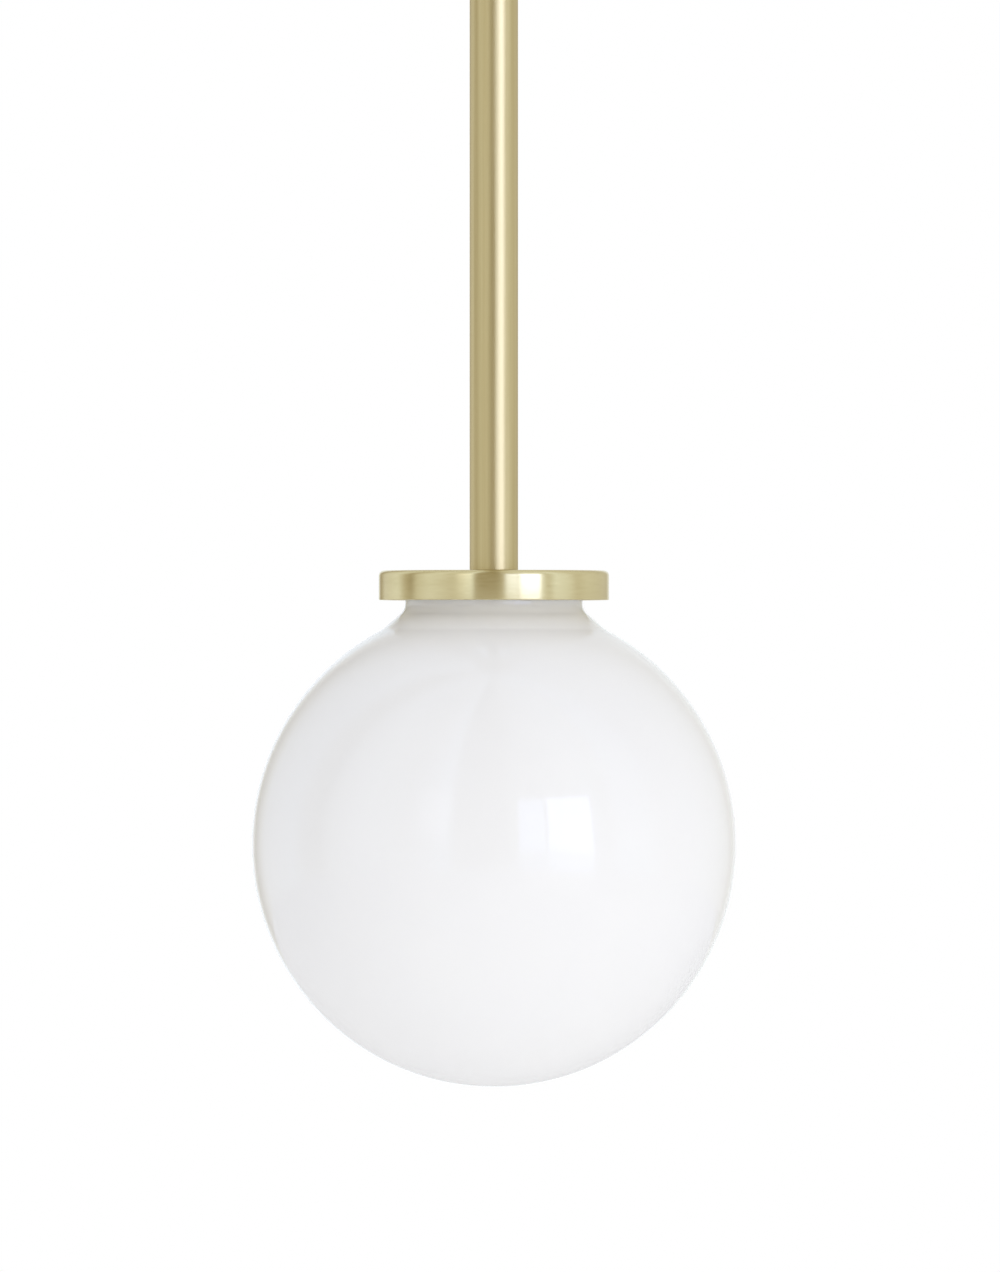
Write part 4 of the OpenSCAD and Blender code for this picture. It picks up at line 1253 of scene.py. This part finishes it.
baseLow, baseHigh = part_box("lamp_base")
lampPinLow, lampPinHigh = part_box("lamp_pins")
bulbLow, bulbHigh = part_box("lamp_envelope")
boardLow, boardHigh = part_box("led_board")
lamp = {"radius": 8 * mm, "base": 11 * mm, "spigot": 6.7 * mm, "edge": 0.8 * mm,
        "broken edge": 0.2 * mm, "band": 3 * mm, "groove": 0.3 * mm, "wall": 1 * mm,
        "pin": 0.5 * mm, "pin play": 0.03 * mm, "pin spacing": 9 * mm, "pin wide": 2.8 * mm,
        "pin well": 1.43 * mm, "board slot": 4.2 * mm, "board slot thick": 0.6 * mm,
        "board slot over": 0.2 * mm}


def mouldBase():
    radius, edge, groove, spigot = lamp["radius"], lamp["edge"], lamp["groove"], lamp["spigot"]
    small, shoulder = lamp["broken edge"], baseHigh.z - lamp["base"]
    band = baseHigh.z - lamp["band"]
    profile = (
        [(0, baseHigh.z)]
        + list(reversed(arc((radius - edge, baseHigh.z - edge), edge, 0, 90, 5)))
        + [(radius, band), (radius - groove, band - groove),
           (radius - groove, band - 2 * groove), (radius, band - 3 * groove),
           (radius, shoulder + small), (radius - small, shoulder), (spigot, shoulder),
           (spigot, baseLow.z + small), (spigot - small, baseLow.z), (0, baseLow.z)]
    )
    base = turnOnLathe("lamp_base", profile, steps=96, closed=False)
    for side in (-1, 1):
        across, half = side * lamp["pin spacing"] / 2, lamp["pin"]
        mill(base, (across - half - lamp["pin play"], -lamp["pin well"], lampPinLow.z),
             (across + half + lamp["pin play"], lamp["pin well"], baseHigh.z + past))
    mill(base, (-lamp["board slot"], -lamp["board slot thick"], baseLow.z - past),
         (lamp["board slot"], lamp["board slot thick"], boardHigh.z + lamp["board slot over"]))
    return base


settle(mouldBase(), "moulded_lamp_base", pbtPlastic, "lamp", "white_plastic", "lamp_base")


def bendPin():
    # a loop of wire: a round section spun over the bend, then both ends drawn down
    radius = lamp["pin"]
    half = lamp["pin wide"] / 2 - radius
    bendHeight = lampPinHigh.z - half - radius
    deselectAll()
    bpy.ops.mesh.primitive_circle_add(vertices=16, radius=radius, location=(0, -half, bendHeight))
    loop = bpy.context.object
    bpy.ops.object.transform_apply(location=True, rotation=True, scale=True)
    editWhole()
    bpy.ops.mesh.spin(steps=16, angle=math.pi, center=(0, 0, bendHeight), axis=(1, 0, 0))
    bpy.ops.object.mode_set(mode="OBJECT")
    selectWhere(loop, lambda co: co.z < bendHeight + flat * 0.01)
    down = (0, 0, lampPinLow.z - bendHeight)
    bpy.ops.mesh.extrude_region_move(TRANSFORM_OT_translate={"value": down})
    closeEnds()
    return loop


loop = bendPin()
loops = [copyTo(loop, (side * lamp["pin spacing"] / 2, 0, 0)) for side in (-1, 1)]
discard(loop)
settle(join(loops), "wire_pins", zincSteel, "lamp", "zinc_steel", "lamp_pins")


def blowEnvelope():
    # a tube with a round end, open at the top
    radius, small = lamp["radius"], lamp["broken edge"]
    inner, tipMiddle = radius - lamp["wall"], (0, bulbLow.z + radius)
    profile = (
        arc(tipMiddle, radius, -90, 0, 24)
        + [(radius, bulbHigh.z - small), (radius - small, bulbHigh.z),
           (inner + small, bulbHigh.z), (inner, bulbHigh.z - small)]
        + arc(tipMiddle, inner, 0, -90, 24)
    )
    return turnOnLathe("envelope", profile, steps=96, closed=False)


settle(blowEnvelope(), "frosted_envelope", frosted, "lamp", "frosted_envelope", "lamp_envelope")

boardCorner = 1.2 * mm
chip = {"wide": 2.8 * mm, "tall": 3.5 * mm, "thick": 0.7 * mm, "window": 2.1 * mm,
        "well": 0.3 * mm, "well taper": 0.85, "pad": 0.92, "pad sunk": 0.1 * mm,
        "pad back": 0.2 * mm, "pad round": 0.12 * mm, "rows": 6, "spacing": 4.4 * mm,
        "first": 6.5 * mm}
board = block(boardLow, boardHigh)
selectEdges(board, lambda a, b: abs(a.y - b.y) > flat and max(a.z, b.z) < boardLow.z + flat)
bpy.ops.mesh.bevel(offset=boardCorner, segments=4, affect="EDGES")
bpy.ops.object.mode_set(mode="OBJECT")
settle(board, "printed_board", solderMask, "lamp", "white_board", "led_board")


def ledChip():
    # a moulded cup with a sloping well for the phosphor
    wide, tall = chip["wide"] / 2, chip["tall"] / 2
    body = block((-wide, -chip["thick"], -tall), (wide, 0, tall))
    selectFaces(body, lambda normal: normal.y < -0.9)
    bpy.ops.mesh.inset(thickness=(chip["wide"] - chip["window"]) / 2)
    bpy.ops.mesh.extrude_region_move(TRANSFORM_OT_translate={"value": (0, chip["well"], 0)})
    bpy.ops.transform.resize(value=(chip["well taper"], 1, chip["well taper"]),
                             center_override=(0, 0, 0))
    bpy.ops.object.mode_set(mode="OBJECT")
    return body


def phosphorPad():
    # fills most of the well, a little below its rim
    wide = chip["window"] * chip["pad"] / 2
    tall = (chip["tall"] - chip["wide"] + chip["window"]) * chip["pad"] / 2
    pad = block((-wide, chip["pad sunk"] - chip["thick"], -tall), (wide, -chip["pad back"], tall))
    soften(pad, chip["pad round"])
    return pad


for name, make, finish in (("led_chips", ledChip, pbtPlastic),
                           ("led_phosphor", phosphorPad, phosphor)):
    one = make()
    several = []
    for face, front in ((0, boardLow.y), (180, boardHigh.y)):
        for row in range(chip["rows"]):
            height = boardHigh.z - chip["first"] - row * chip["spacing"]
            several.append(copyTo(one, (0, front, height), (0, 0, face)))
    discard(one)
    settle(join(several), name, finish, "lamp", "white_board")
print("lamp made")


# leads, whole from the lampholder to the terminals; each is in two lengths that meet inside the
# ball

wire = {"radius": 0.9 * mm, "bundle": 1.15 * mm, "step": 2.5 * mm,
        "meet above ball's middle": 6 * mm, "rounds": 4, "past holder": 2 * mm}
leadFoot = holderHigh.z


def upTheRod(angle):
    around = math.radians(angle)
    x, y = wire["bundle"] * math.cos(around), wire["bundle"] * math.sin(around)
    heights = (nippleLow.z - 1.5 * mm, nippleLow.z + 8 * mm, rodHigh.z - 60 * mm, rodHigh.z,
               ballMiddle, swivelHigh.z)
    return [(x, y, z) for z in heights]


def supplyRoute(side, angle):
    out, pole = side * holder["lead out"], side * terminal["pole"]
    front = blockLow.y
    half = (blockHigh.y - front) / 2
    return (
        [(out, 0, leadFoot - holder["lead hole deep"] + 0.2 * mm),
         (out, 0, leadFoot + wire["past holder"])]
        + upTheRod(angle)
        + [(side * 2 * mm, 2.5 * mm, swivelHigh.z + 6 * mm),
           (pole, front - 9 * mm, swivelHigh.z + 4 * mm),
           (pole, front - 4 * mm, poleHeight), (pole, front + half - 2 * mm, poleHeight)]
    )


def earthRoute():
    tagUnder = tagLow.z - wire["radius"] - 0.2 * mm
    onPlate = earthSeat + wire["radius"]
    return (
        [(0, -11.5 * mm, tagUnder), (0, -14.5 * mm, tagUnder),
         (0, -15 * mm, nippleLow.z - 4 * mm), (0, -6 * mm, nippleLow.z - 6 * mm)]
        + upTheRod(210)
        + [(-6 * mm, -1 * mm, swivelHigh.z + 5 * mm), (-14 * mm, 6 * mm, swivelHigh.z),
           (earthMiddle.x + 6.5 * mm, earthMiddle.y - 9.5 * mm, onPlate + 0.3 * mm),
           (earthMiddle.x + 3.6 * mm, earthMiddle.y - 4.3 * mm, onPlate + 0.1 * mm)]
    )


def roundRoute(route):
    # the corners are cut several times over, then points are set out evenly along it
    points = [Vector(p) for p in route]
    for again in range(wire["rounds"]):
        cut = [points[0]]
        for a, b in zip(points, points[1:]):
            cut += [a.lerp(b, 0.25), a.lerp(b, 0.75)]
        points = cut + [points[-1]]
    spaced = [points[0]]
    for point in points[1:]:
        while (point - spaced[-1]).length > wire["step"] * 1.4:
            spaced.append(spaced[-1] + (point - spaced[-1]).normalized() * wire["step"])
        if (point - spaced[-1]).length > wire["step"] * 0.6:
            spaced.append(point)
    spaced[-1] = points[-1]
    return spaced


def drawLead(name, points, material, nodes):
    data = bpy.data.curves.new(name, "CURVE")
    data.dimensions = "3D"
    data.bevel_depth = wire["radius"]
    data.bevel_resolution = 4
    data.use_fill_caps = True
    line = data.splines.new("POLY")
    line.points.add(len(points) - 1)
    for each, point in zip(line.points, points):
        each.co = (*point, 1)
    piece = bpy.data.objects.new(name, data)
    bpy.context.scene.collection.objects.link(piece)
    pick(piece)
    bpy.ops.object.convert(target="MESH")
    piece = bpy.context.object
    cleanMesh(piece, flatten=False)
    finishPiece(piece, name, 60)
    coat(piece, material)
    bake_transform(piece)
    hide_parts(*nodes)


meeting = ballMiddle + wire["meet above ball's middle"]
for name, route, material, slot in (
        ("live_lead", supplyRoute(1, -30), brownPvc, "brown_insulation"),
        ("neutral_lead", supplyRoute(-1, 90), bluePvc, "blue_insulation"),
        ("earth_lead", earthRoute(), earthPvc, "green_insulation")):
    points = roundRoute(route)
    cross = next(i for i, p in enumerate(points) if p.z > meeting)
    lower, upper = points[cross - 1], points[cross]
    joint = lower.lerp(upper, (meeting - lower.z) / (upper.z - lower.z))
    drawLead(name + "_in_rod", points[:cross] + [joint], material, (name,))
    drawLead(name + "_in_canopy", [joint] + points[cross:], material, (name,))
print("leads drawn")


# studio: what the light reflects, and what lights it

room = {
    # how bright the walls are, by degrees turned to the right from the camera
    "walls": [
        (-180, 1.0), (-168, 1.0), (-163, 0.7), (-157, 0.42), (-149, 0.6), (-142, 0.82),
        (-128, 0.9), (-112, 1.0), (-101, 0.66), (-92, 0.46), (-84, 0.84), (-68, 0.98),
        (-55, 0.91), (-42, 0.8), (-31, 0.95), (-22.5, 1.15), (-18.5, 0.45), (5, 0.43),
        (11, 0.72), (50, 1.0), (57, 0.76), (65, 1.1), (80, 1.0), (92, 0.79), (100, 0.82),
        (108, 0.87), (142, 0.76), (155, 0.64), (164, 0.85), (180, 1.0),
    ],
    # left, right, bottom, top and soft edge in degrees, and colour: a tall window to the right
    # of the camera, in two panes that are dimmer below, and a faint one across the room; their
    # daylight is bluer than the room
    "panes": [
        (11.8, 24.6, -2, 22, 0.8, (1.0, 1.22, 2.0)),
        (26, 48.2, -2, 22, 0.8, (1.85, 2.15, 3.6)),
        (11.8, 24.6, -14, -2, 0.8, (0.45, 0.54, 0.85)),
        (26, 48.2, -14, -2, 0.8, (0.85, 1.0, 1.5)),
        (-37, -21, 6, 26, 2.5, (0.5, 0.5, 0.55)),
    ],
    # what falls on matt surfaces: level with the light, and from straight above and below
    "matt": (0.985, 0.985, 1.0, 1.0), "matt level": 1.04, "matt steep": 0.79,
    "backdrop": (1.0, 1.0, 1.0, 1.0),
}


def wallStops():
    # the room's darker parts are warm wood and shade, its pale ones are white; 0.5 is the camera
    return [(0.5 + degrees / 360,
             (level, level * (0.76 + 0.3 * level), level * (0.22 + 0.88 * level), 1.0))
            for degrees, level in room["walls"]]


def studioWorld():
    world = bpy.data.worlds.new("studio")
    bpy.context.scene.world = world
    world.use_nodes = True
    tree = world.node_tree
    tree.nodes.clear()
    spot = addNode(tree, "ShaderNodeTexCoord")
    axes = addNode(tree, "ShaderNodeSeparateXYZ", {"Vector": spot.outputs["Generated"]})
    towards = addNode(tree, "ShaderNodeMath", {0: axes.outputs["Y"], 1: -1.0},
                      operation="MULTIPLY")
    # turn about the light, 0 at the camera and growing to the right
    turn = addNode(tree, "ShaderNodeMath", {0: axes.outputs["X"], 1: towards.outputs[0]},
                   operation="ARCTAN2")
    around = addNode(tree, "ShaderNodeMapRange",
                     {"Value": turn.outputs[0], "From Min": -math.pi, "From Max": math.pi})
    light = addNode(tree, "ShaderNodeValToRGB", {"Fac": around.outputs[0]}, wallStops())
    height = addNode(tree, "ShaderNodeMath", {0: axes.outputs["Z"]}, operation="ARCSINE")

    def between(value, low, high, soft):
        # 1 between two angles and 0 outside them, with a soft edge at both
        edges = []
        for at, start, end in ((low, 0.0, 1.0), (high, 1.0, 0.0)):
            edges.append(addNode(tree, "ShaderNodeMapRange", {
                "Value": value, "From Min": math.radians(at - soft),
                "From Max": math.radians(at + soft), "To Min": start, "To Max": end},
                interpolation_type="SMOOTHSTEP").outputs[0])
        return addNode(tree, "ShaderNodeMath", dict(enumerate(edges)), operation="MULTIPLY")

    for left, right, bottom, top, soft, colour in room["panes"]:
        across = between(turn.outputs[0], left, right, soft)
        upright = between(height.outputs[0], bottom, top, soft)
        pane = addNode(tree, "ShaderNodeMath", {0: across.outputs[0], 1: upright.outputs[0]},
                       operation="MULTIPLY")
        tinted = addNode(tree, "ShaderNodeVectorMath", {0: pane.outputs[0], 1: colour},
                         operation="MULTIPLY")
        light = addNode(tree, "ShaderNodeVectorMath",
                        {0: light.outputs[0], 1: tinted.outputs[0]}, operation="ADD")
    path = addNode(tree, "ShaderNodeLightPath")
    mirror = addNode(tree, "ShaderNodeBackground", {"Color": light.outputs[0], "Strength": 1.0})
    # on matt surfaces: walls lit from the sides, so paler than the ceiling
    steep = addNode(tree, "ShaderNodeMath", {0: axes.outputs["Z"]}, operation="ABSOLUTE")
    level = addNode(tree, "ShaderNodeMapRange", {
        "Value": steep.outputs[0], "From Min": 0.05, "From Max": 0.6,
        "To Min": room["matt level"], "To Max": room["matt steep"]})
    soft = addNode(tree, "ShaderNodeBackground",
                   {"Color": room["matt"], "Strength": level.outputs[0]})
    plain = addNode(tree, "ShaderNodeBackground", {"Color": room["backdrop"], "Strength": 1.0})
    lit = addNode(tree, "ShaderNodeMixShader",
                  {0: path.outputs["Is Glossy Ray"], 1: soft.outputs[0], 2: mirror.outputs[0]})
    clear = addNode(tree, "ShaderNodeMath", {
        0: path.outputs["Is Camera Ray"], 1: path.outputs["Is Transmission Ray"]},
        operation="MAXIMUM")
    shown = addNode(tree, "ShaderNodeMixShader",
                    {0: clear.outputs[0], 1: lit.outputs[0], 2: plain.outputs[0]})
    addNode(tree, "ShaderNodeOutputWorld", {"Surface": shown.outputs[0]})


lamps = {
    "window": {"spot": (1.1, -1.9, -0.2), "size": (1.2, 1.2), "power": 9},
    "reflector": {"spot": (0, 0, -1.02), "size": (1.6, 1.6), "power": 1.6},
}
capMiddle = middleOf("shade_cap")


def softLamp(name, spot, size, power):
    # an area lamp that lights the piece but isn't seen in it; the room's window is its reflection
    data = bpy.data.lights.new(name, "AREA")
    data.shape = "RECTANGLE"
    data.size, data.size_y = size
    data.energy = power
    source = bpy.data.objects.new(name, data)
    bpy.context.scene.collection.objects.link(source)
    source.location = spot
    source.rotation_euler = (capMiddle - Vector(spot)).to_track_quat("-Z", "Y").to_euler()
    source.visible_glossy = False
    source.visible_camera = False


studioWorld()
for name, each in lamps.items():
    softLamp(name, each["spot"], each["size"], each["power"])

floor = {"radius": 2.5, "below": 0.42, "even to": 0.3, "pale from": 0.95, "glow": 0.55}


def paleFloor():
    deselectAll()
    bpy.ops.mesh.primitive_circle_add(vertices=96, radius=floor["radius"], fill_type="NGON",
                                      location=(0, 0, globeLow.z - floor["below"]))
    piece = finishPiece(bpy.context.object, "floor")
    material, tree = newMaterial("pale_floor")
    spot = addNode(tree, "ShaderNodeTexCoord")
    mottle = addNode(tree, "ShaderNodeTexNoise",
                     {"Vector": spot.outputs["Object"], "Scale": 3.0, "Detail": 2.0})
    tone = addNode(tree, "ShaderNodeValToRGB", {"Fac": mottle.outputs["Fac"]},
                   ((0.0, linear("#F3F3F2")), (1.0, linear("#F8F8F7"))))
    matt = addNode(tree, "ShaderNodeBsdfDiffuse", {"Color": tone.outputs[0]})
    glow = addNode(tree, "ShaderNodeEmission", {"Strength": 1.0})
    path = addNode(tree, "ShaderNodeLightPath")
    # paler towards the rim, so that it runs into the backdrop
    reach = addNode(tree, "ShaderNodeVectorMath",
                    {0: spot.outputs["Object"], 1: (1.0, 1.0, 0.0)}, operation="MULTIPLY")
    outward = addNode(tree, "ShaderNodeVectorMath", {0: reach.outputs[0]}, operation="LENGTH")
    fade = addNode(tree, "ShaderNodeMapRange", {
        "Value": outward.outputs["Value"], "From Min": floor["even to"],
        "From Max": floor["radius"] * floor["pale from"], "To Min": floor["glow"], "To Max": 1.0})
    seen = addNode(tree, "ShaderNodeMath",
                   {0: path.outputs["Is Camera Ray"], 1: fade.outputs[0]}, operation="MULTIPLY")
    mix = addNode(tree, "ShaderNodeMixShader",
                  {0: seen.outputs[0], 1: matt.outputs[0], 2: glow.outputs[0]})
    addNode(tree, "ShaderNodeOutputMaterial", {"Surface": mix.outputs[0]})
    coat(piece, material)


paleFloor()
print("studio lit")
